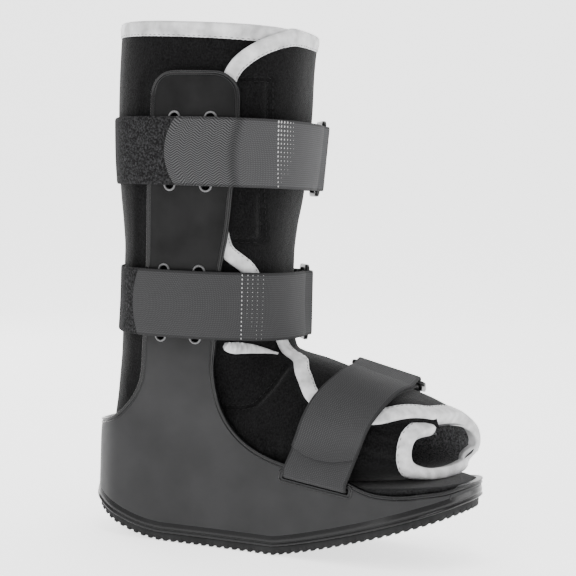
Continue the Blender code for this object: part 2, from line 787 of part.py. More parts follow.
def build_calf_tab(name, height, finish):
    """Short webbing that holds a calf ring to the far upright."""
    lines = []
    for shift in STRAP_LINES[::2]:
        z = height + shift * STRAP_WIDTH
        place = lambda angle, extra: calf_point(z, angle, calf_lift(angle) + extra)
        across = shift * STRAP_WIDTH
        lines.append(strap_line(place, TAB_START, TAB_TAIL, (6, 4), calf_ring_frame(height), -1, across))
    return ribbon(name, lines, STRAP_THICK, finish)


def foot_strap_place(angle, share, lift):
    """A point of the forefoot strap over the liner, share running from its front edge to its rear."""
    turn = abs(angle)
    rear = follow(turn, FOREFOOT["angle"], FOREFOOT["rear"])
    front = follow(turn, FOREFOOT["angle"], FOREFOOT["front"])
    return section_point(foot_section(front + (rear - front) * share), angle, lift)


def foot_strap_lift(angle):
    """Lift of the forefoot strap's middle over the liner and its panel."""
    onto_panel = ease((angle + FOOT_LEAVES) / 20)
    panel = flap_lift(angle) * onto_panel
    return panel + 2 * GAP + STRAP_THICK / 2


def frame_side(x, z):
    """Half width of the frame at a place along it and a height."""
    ring_x, ring_y = shell_plan(np.full(91, z), np.linspace(0, 180, 91), 0.0)
    return np.interp(x, ring_x[::-1], ring_y[::-1])


def foot_strap_run(share, side, stop):
    """The strap's middle line from inside its slot, up the wall and over the liner."""
    fall = np.radians(SLOT_FALL)
    x = SLOT_X + (0.5 - share) * STRAP_WIDTH * np.cos(fall)
    z = SLOT_Z - (x - SLOT_X) * np.tan(fall)
    wall = frame_side(x, z)
    off = wall + STRAP_EASE + GAP + STRAP_THICK / 2
    bend = STRAP_THICK / 2 + GAP
    run = [(wall - SHELL_WALL * END_DEPTH, z), (off - bend, z)]
    for psi in np.radians((30, 60, 90)):
        run.append((off - bend + bend * np.sin(psi), z + bend - bend * np.cos(psi)))
    edge = outline_height(x) + STRAP_THICK
    run += [(off, z + (edge - z) * part) for part in (0.6, 1.0)]
    points = [np.array([x, side * y, height]) for y, height in run]
    for angle in np.linspace(side * FOOT_LEAVES, stop, 13 if side < 0 else 8):
        points.append(foot_strap_place(angle, share, foot_strap_lift(angle)))
    return points


def foot_ring_frame():
    """Middle, way around, way across and angle of the forefoot ring."""
    lift = ring_lift(foot_strap_lift(FOOT_RING_ANGLE) + 2 * STRAP_EASE)
    middle = foot_strap_place(FOOT_RING_ANGLE, 0.5, lift)
    ahead = foot_strap_place(FOOT_RING_ANGLE + 5, 0.5, lift) - foot_strap_place(FOOT_RING_ANGLE - 5, 0.5, lift)
    rearward = foot_strap_place(FOOT_RING_ANGLE, 1.0, lift) - foot_strap_place(FOOT_RING_ANGLE, 0.0, lift)
    return square_frame(middle, ahead, rearward, FOOT_RING_ANGLE)


def cut_back(points, length):
    """A line of points with a length taken off its end and the rest evenly spread."""
    run = np.concatenate([[0], np.cumsum(np.linalg.norm(np.diff(points, axis=0), axis=1))])
    at = np.linspace(0, run[-1] - length, len(points))
    return np.stack([np.interp(at, run, points[:, i]) for i in range(3)], axis=1)


def build_foot_strap(name, side, tail_up, fall, finish):
    """The forefoot strap, or the tab of its ring: out of a slot, round a bar of the ring and back
    over itself to an end at a distance from the frame's edge."""
    middle, around, across, angle = foot_ring_frame()
    way = -side
    out = np.cross(around, across)
    shares = np.array(STRAP_LINES if side < 0 else STRAP_LINES[::2]) + 0.5
    stop = turn_off(lambda a: foot_strap_place(a, 0.5, 0), angle, way)
    runs = np.array([foot_strap_run(share, side, stop) for share in shares])
    normal = np.cross(np.gradient(runs, axis=0), np.gradient(runs, axis=1)) * side
    normal /= np.linalg.norm(normal, axis=2, keepdims=True)
    over = (runs + normal * (STRAP_THICK + 2 * GAP))[:, 6:][:, ::-1]
    lines = []
    for share, run, back in zip(shares, runs, over):
        bar = middle + across * (share - 0.5) * STRAP_WIDTH
        bar = bar - around * way * (RING_WINDOW + RING_BAR) / 2
        tail = cut_back(back, tail_up + FOOT_TAIL_ROUND * (2 * share - 1) ** 2)
        lines.append(list(run) + hook(bar, around * way, out, fall) + list(tail))
    return ribbon(name, lines, STRAP_THICK, finish)


def main():
    for old in list(bpy.data.objects):
        bpy.data.objects.remove(old, do_unlink=True)
    moulded = material("moulded_plastic", GREY, 0.5)
    rubber = material("sole_rubber", RUBBER, 0.8)
    foam = material("foam_fabric", FOAM_BLACK, 0.95)
    build_outsole(rubber)
    build_shell(moulded)
    build_insole(foam)
    build_liner(foam)
    webbing = material("strap_webbing", WEBBING, 0.9)
    ring = material("ring_plastic", RING_BLACK, 0.35)
    for name, height, tail in (("upper", UPPER_STRAP, UPPER_TAIL), ("middle", MIDDLE_STRAP, MIDDLE_TAIL)):
        build_calf_strap(name + "_strap", height, tail, webbing)
        build_calf_tab(name + "_ring_tab", height, webbing)
        ring_plate(name + "_ring", calf_ring_frame(height), ring)
    build_foot_strap("forefoot_strap", -1, FOOT_TAIL_UP, FOOT_FALL, webbing)
    build_foot_strap("forefoot_ring_tab", 1, TAB_TAIL_UP, TAB_FALL, webbing)
    ring_plate("forefoot_ring", foot_ring_frame(), ring)


main()
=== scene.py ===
# Fracture boot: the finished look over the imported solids.
# Lengths here are millimetres, and the meshes are made in metres. X runs to the toe, Z is up, and
# the near side, where the strap tails end, is -Y. Tables hold shares of the named sizes.

import bmesh
import bpy
import numpy as np
from mathutils import Matrix, Vector
from mathutils.bvhtree import BVHTree


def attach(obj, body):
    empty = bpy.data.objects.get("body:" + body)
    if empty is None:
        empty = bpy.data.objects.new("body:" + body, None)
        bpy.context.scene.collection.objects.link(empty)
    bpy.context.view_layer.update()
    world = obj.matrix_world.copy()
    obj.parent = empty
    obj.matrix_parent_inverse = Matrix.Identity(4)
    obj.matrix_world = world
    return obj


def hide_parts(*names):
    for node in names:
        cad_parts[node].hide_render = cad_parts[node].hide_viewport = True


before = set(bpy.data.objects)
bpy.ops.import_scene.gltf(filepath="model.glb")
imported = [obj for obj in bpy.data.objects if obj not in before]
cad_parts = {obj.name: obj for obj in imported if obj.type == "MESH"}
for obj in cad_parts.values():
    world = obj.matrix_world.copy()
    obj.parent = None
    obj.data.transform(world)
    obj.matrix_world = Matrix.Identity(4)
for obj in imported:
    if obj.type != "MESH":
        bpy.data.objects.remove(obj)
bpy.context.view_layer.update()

MM = 0.001
GAP = 0.3
SOLE_LENGTH = 300.0
BALL_WIDTH = 102.0
HEEL_WIDTH = 89.0
TOE_SPRING = 43.0
HEEL_RISE = 21.5
FLAT_BACK = -80.0
FLAT_FRONT = 8.0
OUTSOLE_THICK = 6.5
LUG_PITCH = 6.2
LUG_DEPTH = 1.8
LUG_REACH = 7.0
TREAD_DEPTH = 0.8
EDGE_NOTCH = 1.0  # How deep the gaps between the lugs look from the side
SHELL_WALL = 3.2
SHELL_LIP = 1.5
UPRIGHT_TOP = 352.0
UPRIGHT_CORNER = 17.0
FLOOR_HEEL = 34.0
FLOOR_TOE = 57.0
BASE_TOP = 70.0
ANKLE_TOP = 150.0
RIVET_HOLE = 6.5
HOLE_RISE = 49.0
HOLE_SPREAD = 28.0
SLOT_LENGTH = 52.0
SLOT_HEIGHT = 4.6
SLOT_X = 41.0
SLOT_Z = 57.0
SLOT_FALL = 7.5
INSOLE_THICK = 5.0
COLLAR_HEIGHT = 387.0
COLLAR_FALL = 5.0
LEG_AXIS = -65.0
CALF_DEPTH = 150.0
CALF_WIDTH = 125.0
INSTEP_HEIGHT = 150.0
FOAM = 6.0
FLAP_THICK = 4.0
FLAP_FULL = 12.0
FLAP_GONE = 46.0
FLAP_STEP = 1.5
FLAP_USUAL = -50.0
FLAP_SPREAD = 110.0
HOLD_NEAR = 8.0
HOLD_FADE = 9.0
STRAP_WIDTH = 50.0
STRAP_THICK = 2.0
STRAP_EASE = 1.0
UPPER_STRAP = 294.0
MIDDLE_STRAP = 182.0
LIFT_FULL = 120.0
LIFT_GONE = 150.0
STAND_OFF = 3.5
STAND_FULL = 30.0
STAND_GONE = 60.0
TAIL_BULGE = 4.5
RING_BAR = 6.0
RING_END = 4.0
RING_THICK = 3.5
RING_WINDOW = 12.0
RING_RUN = 7.0
FOLD_SET = 0.7
RING_ANGLE = 33.0
STRAP_START = 98.0
TAB_START = 86.0
TAB_TAIL = 72.0
UPPER_TAIL = 91.0
MIDDLE_TAIL = 112.0
FOOT_RING_ANGLE = 28.0
FOOT_LEAVES = 97.0
FOOT_TAIL_UP = 6.0
FOOT_TAIL_ROUND = 7.0
TAB_TAIL_UP = 14.0
CALF_FALL = 40.0
FOOT_FALL = 25.0
TAB_FALL = 64.0

# Only seen here
RIM_WIDTH = 3.1  # The frame's raised border, a double bead
# Profiles hold pairs: across the path, and out of the wall or up
RIM_PROFILE = (
    (0.7, -3.6), (0.7, 0.3), (0.5, 0.8), (0.15, 1.0), (-0.2, 0.75), (-0.5, 0.2), (-0.75, 0.03),
    (-1.75, 0.02), (-2.0, 0.25), (-2.2, 0.65), (-2.45, 0.78), (-2.7, 0.55), (-2.9, 0.1),
    (-RIM_WIDTH, -0.2), (-RIM_WIDTH, -3.6),
)
LIP_PROFILE = (
    (-1.2, -0.8), (-1.2, 0.8), (-0.8, 1.2), (-0.1, 1.3), (0.4, 1.0), (0.7, 0.4), (1.0, 0.15), (1.4, 0.2),
    (1.9, 0.7), (2.5, 0.85), (3.6, 0.7), (4.8, 0.4), (6.2, 0.05), (7.2, -0.2), (7.2, -0.8),
)
INSOLE_PROFILE = (  # How far in from the frame's wall, and up
    (30, 0.0), (2, 0.0), (0.4, 0.6), (0, 1.6), (0.3, 3.6), (1.6, 4.7), (4, 5.0), (14, 5.0), (30, 5.0),
)
HEEL_TURN = 140.0  # Where round the sole the rim's heel, its toe and the mould line lie
TOE_TURN = 34.0
MOULD_LINE = 25.0
CHEVRON_RUN = 50.0  # Chevron weave from a tail's end
TAIL_SHADE_BAND = 51.5  # Where the tail passes the upright's front edge; a painted shade band darkens the weave there
DOT_PITCH = 3.1
DOT_ROWS = 16
# Light stitches over a calf strap's tail: lean, each column's place along the boot, and the sizes
# of its top and bottom stitch
UPPER_DOTS = (
    -0.5,
    (1.3, 2.8, 4.3, 5.7, 7.0, 8.2),
    ((1.3, 0.8), (1.2, 0.2), (1.1, 0.1), (1.0, 0.1), (0.7, 0.0), (0.5, 0.0)),
)
MIDDLE_DOTS = (
    0.0,
    (-19.6, -16.0, -13.0, -10.0, -7.0),
    ((0.9, 0.8), (0.6, 0.1), (0.5, 0.2), (0.4, 0.3), (0.4, 0.3)),
)
FOLD_POINTS = 26  # Points of a tail's line that go round its ring
SIDES = ((-1, "near"), (1, "far"))
TAPE = 10.0  # Width of the liner's binding
TAPE_PUFF = 1.0
TAPE_LIFT = 0.45
CURL = 8.0  # How far the near side's upper corner curls into the toe opening
CURL_TURN = 48.0  # Over this many degrees, and this many rows of the liner
CURL_ROWS = 40
TAPE_END = 343.0  # Angle round the toe opening at which its binding ends


def columns(names, *rows):
    """A table's columns by name."""
    return dict(zip(names.split(), np.array(rows, float).T))


SOLE_OUTLINE = columns(
    "angle heel ball",
    (0, 0.0, 0.00),
    (8, 0.0, 0.21),
    (18, 0.0, 0.45),
    (30, 0.0, 0.74),
    (43, 0.0, 0.93),
    (56, 0.0, 1.00),
    (71, 0.1, 0.89),
    (90, 0.5, 0.48),
    (110, 0.95, 0.05),
    (127, 1.0, 0.0),
    (143, 0.93, 0.0),
    (157, 0.69, 0.0),
    (169, 0.37, 0.0),
    (180, 0.0, 0.0),
)
LEG = columns(
    "height front back width square flap",
    (0.30, 0.85, 0.96, 0.82, 2.3, -15),
    (0.40, 0.80, 0.92, 0.86, 2.4, -15),
    (0.48, 0.77, 0.90, 0.90, 2.4, -32),
    (0.535, 0.766, 0.897, 0.916, 2.4, -46),
    (0.57, 0.765, 0.895, 0.93, 2.4, -63),
    (0.62, 0.785, 0.915, 0.95, 2.4, -68),
    (0.685, 0.84, 0.955, 0.98, 2.4, -70),
    (0.76, 0.88, 0.99, 1.0, 2.4, -70),
    (0.84, 0.905, 1.005, 1.0, 2.4, -71),
    (0.91, 0.91, 1.005, 1.0, 2.4, -67),
    (0.94, 0.915, 1.0, 0.997, 2.4, -61),
    (0.965, 0.922, 0.995, 0.995, 2.4, -51),
    (0.985, 0.93, 0.99, 0.992, 2.4, -38),
    (1.00, 0.935, 0.985, 0.99, 2.4, -20),
)
FOOT = columns(
    "front_x front_z back_x back_z width square skew flap",
    (-0.030, 1.065, -0.897, 0.90, 1.03, 2.3, 0.0, -15),
    (0.000, 0.990, -0.915, 0.70, 0.96, 2.3, 0.0, -15),
    (0.075, 0.962, -0.940, 0.48, 0.88, 2.4, 0.0, -19),
    (0.150, 0.945, -0.900, 0.30, 0.85, 2.5, 0.0, -33),
    (0.232, 0.920, -0.700, 0.27, 0.84, 2.6, 0.0, -44),
    (0.328, 0.885, -0.330, 0.28, 0.86, 2.7, 0.0, -60),
    (0.440, 0.845, 0.100, 0.33, 0.90, 2.7, 0.0, -69),
    (0.572, 0.810, 0.430, 0.36, 0.91, 2.6, 0.04, -70),
    (0.692, 0.768, 0.630, 0.385, 0.89, 2.6, 0.14, -52),
    (0.777, 0.728, 0.760, 0.405, 0.83, 2.5, 0.25, -30),
    (0.832, 0.700, 0.830, 0.415, 0.78, 2.4, 0.33, -14),
)
FOREFOOT = columns(
    "angle rear front",
    (0, 4.75, 7.5),
    (45, 4.95, 7.35),
    (80, 5.4, 7.12),
    (100, 5.75, 7.05),
)
REAR_EDGE = columns(
    "x z",
    (-1.15, 0.234),
    (-1.02, 0.238),
    (-0.92, 0.247),
    (-0.84, 0.259),
    (-0.775, 0.283),
    (-0.715, 0.316),
    (-0.672, 0.357),
    (-0.652, 0.405),
    (-0.642, 0.475),
    (-0.628, 0.595),
    (-0.620, 0.760),
    (-0.608, 0.900),
)
FRONT_EDGE = columns(
    "x z",
    (-0.165, 0.900),
    (-0.190, 0.757),
    (-0.207, 0.684),
    (-0.232, 0.614),
    (-0.243, 0.580),
    (-0.262, 0.436),
    (-0.268, 0.385),
    (-0.247, 0.320),
    (-0.200, 0.272),
    (-0.118, 0.234),
    (-0.015, 0.209),
    (0.100, 0.195),
    (0.240, 0.186),
    (0.400, 0.176),
    (0.490, 0.161),
    (0.570, 0.152),
    (0.680, 0.151),
    (0.800, 0.158),
    (0.900, 0.164),
    (0.980, 0.174),
    (1.150, 0.186),
)


# The forms of the solids, as in the part's source


def follow(at, xs, ys):
    """A smooth curve through a table's points, with no overshoot between them."""
    at = np.asarray(at, float)
    step = np.diff(xs)
    slope = np.diff(ys) / step
    product = slope[:-1] * slope[1:]
    total = np.where(product > 0, slope[:-1] + slope[1:], 1.0)
    inner = np.where(product > 0, 2 * product / total, 0.0)
    tangent = np.concatenate([slope[:1], inner, slope[-1:]])
    i = np.clip(np.searchsorted(xs, at) - 1, 0, len(step) - 1)
    t = (at - xs[i]) / step[i]
    return (
        (1 + 2 * t) * (1 - t) ** 2 * ys[i]
        + t * (1 - t) ** 2 * step[i] * tangent[i]
        + t * t * (3 - 2 * t) * ys[i + 1]
        + t * t * (t - 1) * step[i] * tangent[i + 1]
    )


def size_at(table, name, at):
    """A column of a table, at places along the table's first column."""
    return follow(at, next(iter(table.values())), table[name])


def ease(t):
    """0 to 1 with level ends."""
    t = np.clip(t, 0.0, 1.0)
    return t * t * (3 - 2 * t)


def rounded(angle, square):
    """The cosine and sine of a superellipse, for angles in degrees."""
    c = np.cos(np.radians(angle))
    s = np.sin(np.radians(angle))
    power = 2.0 / square
    return np.sign(c) * np.abs(c) ** power, np.sign(s) * np.abs(s) ** power


def unit(vectors):
    return vectors / np.maximum(np.linalg.norm(vectors, axis=-1, keepdims=True), 1e-9)


def sole_plan(angle, lift=0.0):
    turn = np.abs((np.asarray(angle, float) + 180) % 360 - 180)
    heel = size_at(SOLE_OUTLINE, "heel", turn) * HEEL_WIDTH / 2
    ball = size_at(SOLE_OUTLINE, "ball", turn) * BALL_WIDTH / 2
    side = np.sign(np.sin(np.radians(angle)))
    x = (SOLE_LENGTH / 2 + lift) * np.cos(np.radians(angle))
    return x, side * (heel + ball) * (1 + 2 * lift / BALL_WIDTH)


def rocker(x):
    front = np.clip((x - FLAT_FRONT) / (SOLE_LENGTH / 2 - FLAT_FRONT), 0, None)
    back = np.clip((FLAT_BACK - x) / (FLAT_BACK + SOLE_LENGTH / 2), 0, None)
    return TOE_SPRING * front**1.2 + HEEL_RISE * back**1.7


def floor_height(x):
    return FLOOR_HEEL + (FLOOR_TOE - FLOOR_HEEL) * (x / SOLE_LENGTH + 0.5)


def leg_plan(z, angle, lift=0.0):
    share = np.asarray(z, float) / COLLAR_HEIGHT
    front = size_at(LEG, "front", share) * CALF_DEPTH / 2
    back = size_at(LEG, "back", share) * CALF_DEPTH / 2
    half = size_at(LEG, "width", share) * CALF_WIDTH / 2
    c, s = rounded(angle, size_at(LEG, "square", share))
    depth = np.where(c > 0, front, back)
    return LEG_AXIS + (depth + lift) * c, (half + lift) * s


def shell_plan(z, angle, inset):
    sole_x, sole_y = sole_plan(angle, SHELL_LIP - inset)
    leg_x, leg_y = leg_plan(z, angle, GAP + SHELL_WALL - inset)
    part = ease((np.asarray(z, float) - BASE_TOP) / (ANKLE_TOP - BASE_TOP))
    return sole_x + (leg_x - sole_x) * part, sole_y + (leg_y - sole_y) * part


def side_outline(rear_points, front_points, corner_points):
    """The frame's side outline, as points from the heel over the upright to the toe."""
    parts = []
    for table, count in ((REAR_EDGE, rear_points), (FRONT_EDGE, front_points)):
        rows = np.arange(len(table["x"]), dtype=float)
        at = np.linspace(0, len(rows) - 1, count)
        run = np.stack([follow(at, rows, table["x"]), follow(at, rows, table["z"])], axis=1)
        parts.append(run * (SOLE_LENGTH / 2, UPRIGHT_TOP))
    rear, front = parts
    top = []
    for corner_x, side, turns in ((rear[-1][0], 1, (180, 90)), (front[0][0], -1, (90, 0))):
        middle = np.array([corner_x + side * UPRIGHT_CORNER, UPRIGHT_TOP - UPRIGHT_CORNER])
        for turn in np.radians(np.linspace(*turns, corner_points)):
            top.append(middle + UPRIGHT_CORNER * np.array([np.cos(turn), np.sin(turn)]))
    return np.concatenate([rear, top, front])


OUTLINE = side_outline(120, 240, 24)


def outline_height(x):
    order = np.argsort(OUTLINE[:, 0])
    return np.interp(x, OUTLINE[order][:, 0], OUTLINE[order][:, 1])


def upright_middle(height):
    at_rear = OUTLINE[OUTLINE[:, 0] < LEG_AXIS]
    at_front = OUTLINE[OUTLINE[:, 0] > LEG_AXIS][::-1]
    low = at_front[:, 1] > BASE_TOP
    rear = np.interp(height, at_rear[:, 1], at_rear[:, 0])
    return (rear + np.interp(height, at_front[low][:, 1], at_front[low][:, 0])) / 2


def insole_top(x):
    return floor_height(x) + GAP + INSOLE_THICK


# Meshes


def dress(piece, material, slot, *nodes):
    """Give a piece its material and its body, and hide the solids that it stands for."""
    if material:
        piece.data.materials.append(material)
    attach(piece, "root")
    if nodes:
        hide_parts(*nodes)
    return piece


def add_mesh(name, points, faces, uv=None, sharp=None):
    mesh = bpy.data.meshes.new(name)
    mesh.from_pydata((np.asarray(points, float) * MM).tolist(), [], faces)
    if uv is not None:
        layer = mesh.uv_layers.new(name="weave")
        corner = np.empty(len(mesh.loops), dtype=np.int32)
        mesh.loops.foreach_get("vertex_index", corner)
        layer.data.foreach_set("uv", np.asarray(uv, np.float32)[corner].ravel() * MM)
    mesh.update()
    mesh.shade_smooth()
    if sharp:
        mesh.set_sharp_from_angle(angle=np.radians(sharp))
    piece = bpy.data.objects.new(name, mesh)
    bpy.context.scene.collection.objects.link(piece)
    return piece


def grid_faces(rows, cols, wrap_rows=False, wrap_cols=False, first=0):
    """Quads over a grid of points stored row by row."""
    r = np.arange(rows if wrap_rows else rows - 1)[:, None]
    c = np.arange(cols if wrap_cols else cols - 1)[None]
    a = r * cols + c
    b = r * cols + (c + 1) % cols
    d = ((r + 1) % rows) * cols + c
    e = ((r + 1) % rows) * cols + (c + 1) % cols
    return (np.stack(np.broadcast_arrays(a, b, e, d), axis=-1).reshape(-1, 4) + first).tolist()


def tube_faces(rows, cols):
    """Quads over rings of points, with a lid at each end."""
    lids = [list(range(cols)), list(range((rows - 1) * cols, rows * cols))]
    return grid_faces(rows, cols, wrap_cols=True) + lids


def turn_out(piece):
    """Turn the faces of a closed mesh outwards."""
    made = bmesh.new()
    made.from_mesh(piece.data)
    bmesh.ops.recalc_face_normals(made, faces=made.faces)
    made.to_mesh(piece.data)
    made.free()
    return piece


def sweep(name, path, across, out, profile, closed=False, sharp=None):
    """A profile carried along a path. The profile has (across, out) pairs, or a set for each point."""
    profile = np.asarray(profile, float)
    if profile.ndim == 2:
        profile = np.broadcast_to(profile, (len(path),) + profile.shape)
    points = path[:, None] + across[:, None] * profile[..., :1] + out[:, None] * profile[..., 1:2]
    rows, cols = profile.shape[:2]
    faces = grid_faces(rows, cols, True, True) if closed else tube_faces(rows, cols)
    around = np.linspace(0, TAPE * 2, cols)
    uv = np.stack(np.broadcast_arrays(length_along(path)[:, None], around[None]), axis=-1).reshape(-1, 2)
    return turn_out(add_mesh(name, points.reshape(-1, 3), faces, uv, sharp))


def tangents(path, closed=False):
    if closed:
        return unit(np.roll(path, -1, axis=0) - np.roll(path, 1, axis=0))
    return unit(np.gradient(path, axis=0))


def beside(path, out, closed=False):
    """Ways across a path, square to the ways out."""
    return unit(np.cross(tangents(path, closed), out))


def length_along(path):
    return np.concatenate([[0], np.cumsum(np.linalg.norm(np.diff(path, axis=0), axis=1))])


def resample(path, step, closed=False):
    """Evenly spaced points along a path, with what further columns hold."""
    if closed:
        path = np.concatenate([path, path[:1]])
    run = length_along(path[:, :3])
    count = max(int(run[-1] / step), 3)
    at = np.linspace(0, run[-1], count, endpoint=not closed)
    return np.stack([np.interp(at, run, path[:, i]) for i in range(path.shape[1])], axis=1)


def smooth(values, passes, closed=False):
    """Even out a line of points or numbers."""
    values = np.array(values, float)
    for _ in range(passes):
        if closed:
            values = (np.roll(values, 1, axis=0) + 2 * values + np.roll(values, -1, axis=0)) / 4
        else:
            values[1:-1] = (values[:-2] + 2 * values[1:-1] + values[2:]) / 4
    return values


def ripple(run, wave, seed):
    """An uneven wave along a run, from -1 to 1."""
    rng = np.random.default_rng(seed)
    knots = np.arange(0, run[-1] + 3 * wave, wave / 2)
    knots = knots + rng.uniform(-0.18, 0.18, len(knots)) * wave
    heights = rng.uniform(0.35, 1.0, len(knots)) * np.where(np.arange(len(knots)) % 2, 1, -1)
    return follow(run, knots, heights)


def dashes(name, spots, ways, outs, length, radius, material, slot, sizes=1.0):
    """Short stitches that lie on a surface."""
    sides = np.cross(outs, ways)
    ring = np.radians(np.arange(6) * 60)
    shape = [
        (end * length / 2, swell * radius * np.sin(turn), swell * radius * np.cos(turn))
        for end, swell in ((-1, 0.2), (-0.7, 0.8), (0, 1), (0.7, 0.8), (1, 0.2))
        for turn in ring
    ]
    faces = tube_faces(5, len(ring))
    sizes = np.broadcast_to(sizes, len(spots))[:, None]
    points = [spots + (ways * along + outs * out + sides * side) * sizes for along, out, side in shape]
    points = np.stack(points, axis=1).reshape(-1, 3)
    each = len(shape)
    all_faces = [[corner + each * i for corner in face] for i in range(len(spots)) for face in faces]
    return dress(turn_out(add_mesh(name, points, all_faces)), material, slot)


def rounded_box(low, high, radius, steps=4):
    """A closed profile: a rectangle with round corners."""
    ends = np.array(low, float) + radius, np.array(high, float) - radius
    points = []
    for u, v, start in ((1, 1, 0), (0, 1, 90), (0, 0, 180), (1, 0, 270)):
        middle = np.array([ends[u][0], ends[v][1]])
        for turn in np.radians(np.linspace(start, start + 90, steps)):
            points.append(middle + radius * np.array([np.cos(turn), np.sin(turn)]))
    return np.array(points)


def combine(piece, cutter, operation):
    """Apply a Boolean and remove the cutter."""
    change = piece.modifiers.new(operation, "BOOLEAN")
    change.operation = operation
    change.object = cutter
    change.solver = "EXACT"
    depsgraph = bpy.context.evaluated_depsgraph_get()
    depsgraph.update()
    made = bpy.data.meshes.new_from_object(piece.evaluated_get(depsgraph))
    piece.modifiers.clear()
    old = piece.data
    piece.data = made
    bpy.data.meshes.remove(old)
    bpy.data.objects.remove(cutter, do_unlink=True)


# Materials


class Look:
    """A material made of named steps. Texture sizes are millimetres."""

    def __init__(self, name, colour, roughness, **sockets):
        self.material = bpy.data.materials.new(name)
        self.material.use_nodes = True
        self.tree = self.material.node_tree
        self.shader = self.tree.nodes["Principled BSDF"]
        self.colour = colour
        self.shader.inputs["Base Color"].default_value = (*colour, 1)
        self.shader.inputs["Roughness"].default_value = roughness
        for socket, value in sockets.items():
            self.shader.inputs[socket.replace("_", " ")].default_value = value
        self.material.diffuse_color = (*colour, 1)
        self.height = None

    def add(self, kind, inputs=(), **settings):
        node = self.tree.nodes.new(kind)
        for key, value in settings.items():
            setattr(node, key, value)
        for socket, value in dict(inputs).items():
            if isinstance(value, bpy.types.NodeSocket):
                self.tree.links.new(value, node.inputs[socket])
            else:
                node.inputs[socket].default_value = value
        return node

    def math(self, operation, a, b=0.0):
        return self.add("ShaderNodeMath", {0: a, 1: b}, operation=operation).outputs[0]

    def plus(self, a, b):
        return self.math("ADD", a, b)

    def times(self, a, b):
        return self.math("MULTIPLY", a, b)

    def spread(self, value, low, high, start, end, kind="LINEAR"):
        """Carry a value's run from low to high over to a run from start to end."""
        inputs = {0: value, 1: low, 2: high, 3: start, 4: end}
        return self.add("ShaderNodeMapRange", inputs, interpolation_type=kind).outputs[0]

    def object_place(self):
        return self.add("ShaderNodeTexCoord").outputs["Object"]

    def strap_place(self):
        """Length along a strap and across it, in millimetres."""
        place = self.add("ShaderNodeUVMap", uv_map="weave").outputs[0]
        parts = self.add("ShaderNodeSeparateXYZ", {0: place})
        return [self.times(parts.outputs[axis], 1000.0) for axis in (0, 1)]

    def noise(self, size, detail=3.0, rough=0.5, stretch=(1, 1, 1)):
        place = self.add("ShaderNodeMapping", {"Vector": self.object_place(), "Scale": stretch}).outputs[0]
        inputs = {"Vector": place, "Scale": 1000.0 / size, "Detail": detail, "Roughness": rough}
        return self.add("ShaderNodeTexNoise", inputs).outputs[0]

    def vary(self, pattern, dark, light, low=0.3, high=0.7):
        """Colour the surface between two shares of its colour by a pattern."""
        ramp = self.add("ShaderNodeValToRGB", {0: pattern})
        for stop, place, share in zip(ramp.color_ramp.elements, (low, high), (dark, light)):
            stop.position = place
            stop.color = (*[channel * share for channel in self.colour], 1)
        self.tree.links.new(ramp.outputs[0], self.shader.inputs["Base Color"])

    def polish(self, pattern, low, high):
        """Roughness between two values by a pattern."""
        self.tree.links.new(self.spread(pattern, 0.0, 1.0, low, high), self.shader.inputs["Roughness"])

    def emboss(self, pattern, depth):
        """Raise the surface by a pattern, to a depth in millimetres. Each call adds to the last."""
        inputs = {"Height": pattern, "Distance": depth * MM, "Strength": 1.0}
        if self.height:
            inputs["Normal"] = self.height
        self.height = self.add("ShaderNodeBump", inputs).outputs[0]
        self.tree.links.new(self.height, self.shader.inputs["Normal"])


def wave(look, value, pitch):
    """A sine of a value in millimetres, from 0 to 1."""
    sine = look.math("SINE", look.times(value, 2 * np.pi / pitch))
    return look.plus(look.times(sine, 0.5), 0.5)


def moulded_look():
    look = Look("moulded_frame", (0.0115, 0.0115, 0.0118), 0.42, Specular_IOR_Level=0.12)
    height = look.add("ShaderNodeSeparateXYZ", {0: look.object_place()}).outputs[2]
    # Painted light: the frame's colour is lighter low down and darkest on the uprights, standing in for light
    # thrown up from the floor; a noise adds random tone on top
    low = look.spread(height, 0.09, 0.22, 0.62, 0.0, "SMOOTHSTEP")
    look.vary(look.plus(low, look.times(look.noise(26, 4), 0.5)), 0.1, 2.3, 0.15, 0.95)
    look.polish(look.noise(9, 3), 0.36, 0.5)
    look.emboss(look.noise(0.55, 2), 0.035)
    return look.material


def bead_look():
    """The frame's plastic where it is smoother, along its beads."""
    look = Look("moulded_bead", (0.006, 0.006, 0.0063), 0.24, Specular_IOR_Level=0.26)
    look.vary(look.noise(18, 3), 0.85, 1.15)
    look.emboss(look.noise(1.4, 2), 0.015)
    return look.material


def eyelet_look():
    # The rims are coloured far lighter than the frame's plastic: painted highlight for the bright crescents
    # on them, with a glossy coat for real gloss
    look = Look("eyelet_rim", (0.09, 0.09, 0.092), 0.3, Coat_Weight=0.3, Coat_Roughness=0.2)
    look.vary(look.noise(1.5, 2), 0.85, 1.15)
    look.emboss(look.noise(0.8, 2), 0.02)
    return look.material


def rubber_look():
    look = Look("sole_rubber_look", (0.015, 0.015, 0.0153), 0.75, Specular_IOR_Level=0.15)
    look.vary(look.noise(14, 4), 0.75, 1.3)
    look.emboss(look.noise(0.9, 3), 0.09)
    return look.material


def brushed_look(name, value):
    """Short brushed pile on foam."""
    nap = {"Specular_IOR_Level": 0.05, "Sheen_Weight": 0.12, "Sheen_Roughness": 0.4}
    look = Look(name, (value, value, value * 1.03), 0.95, **nap)
    fibres = look.noise(1.1, 4, 0.75, (1, 1, 0.7))
    look.vary(fibres, 0.3, 2.6, 0.36, 0.7)
    look.emboss(look.noise(7, 3), 0.35)
    look.emboss(fibres, 0.3)
    return look.material


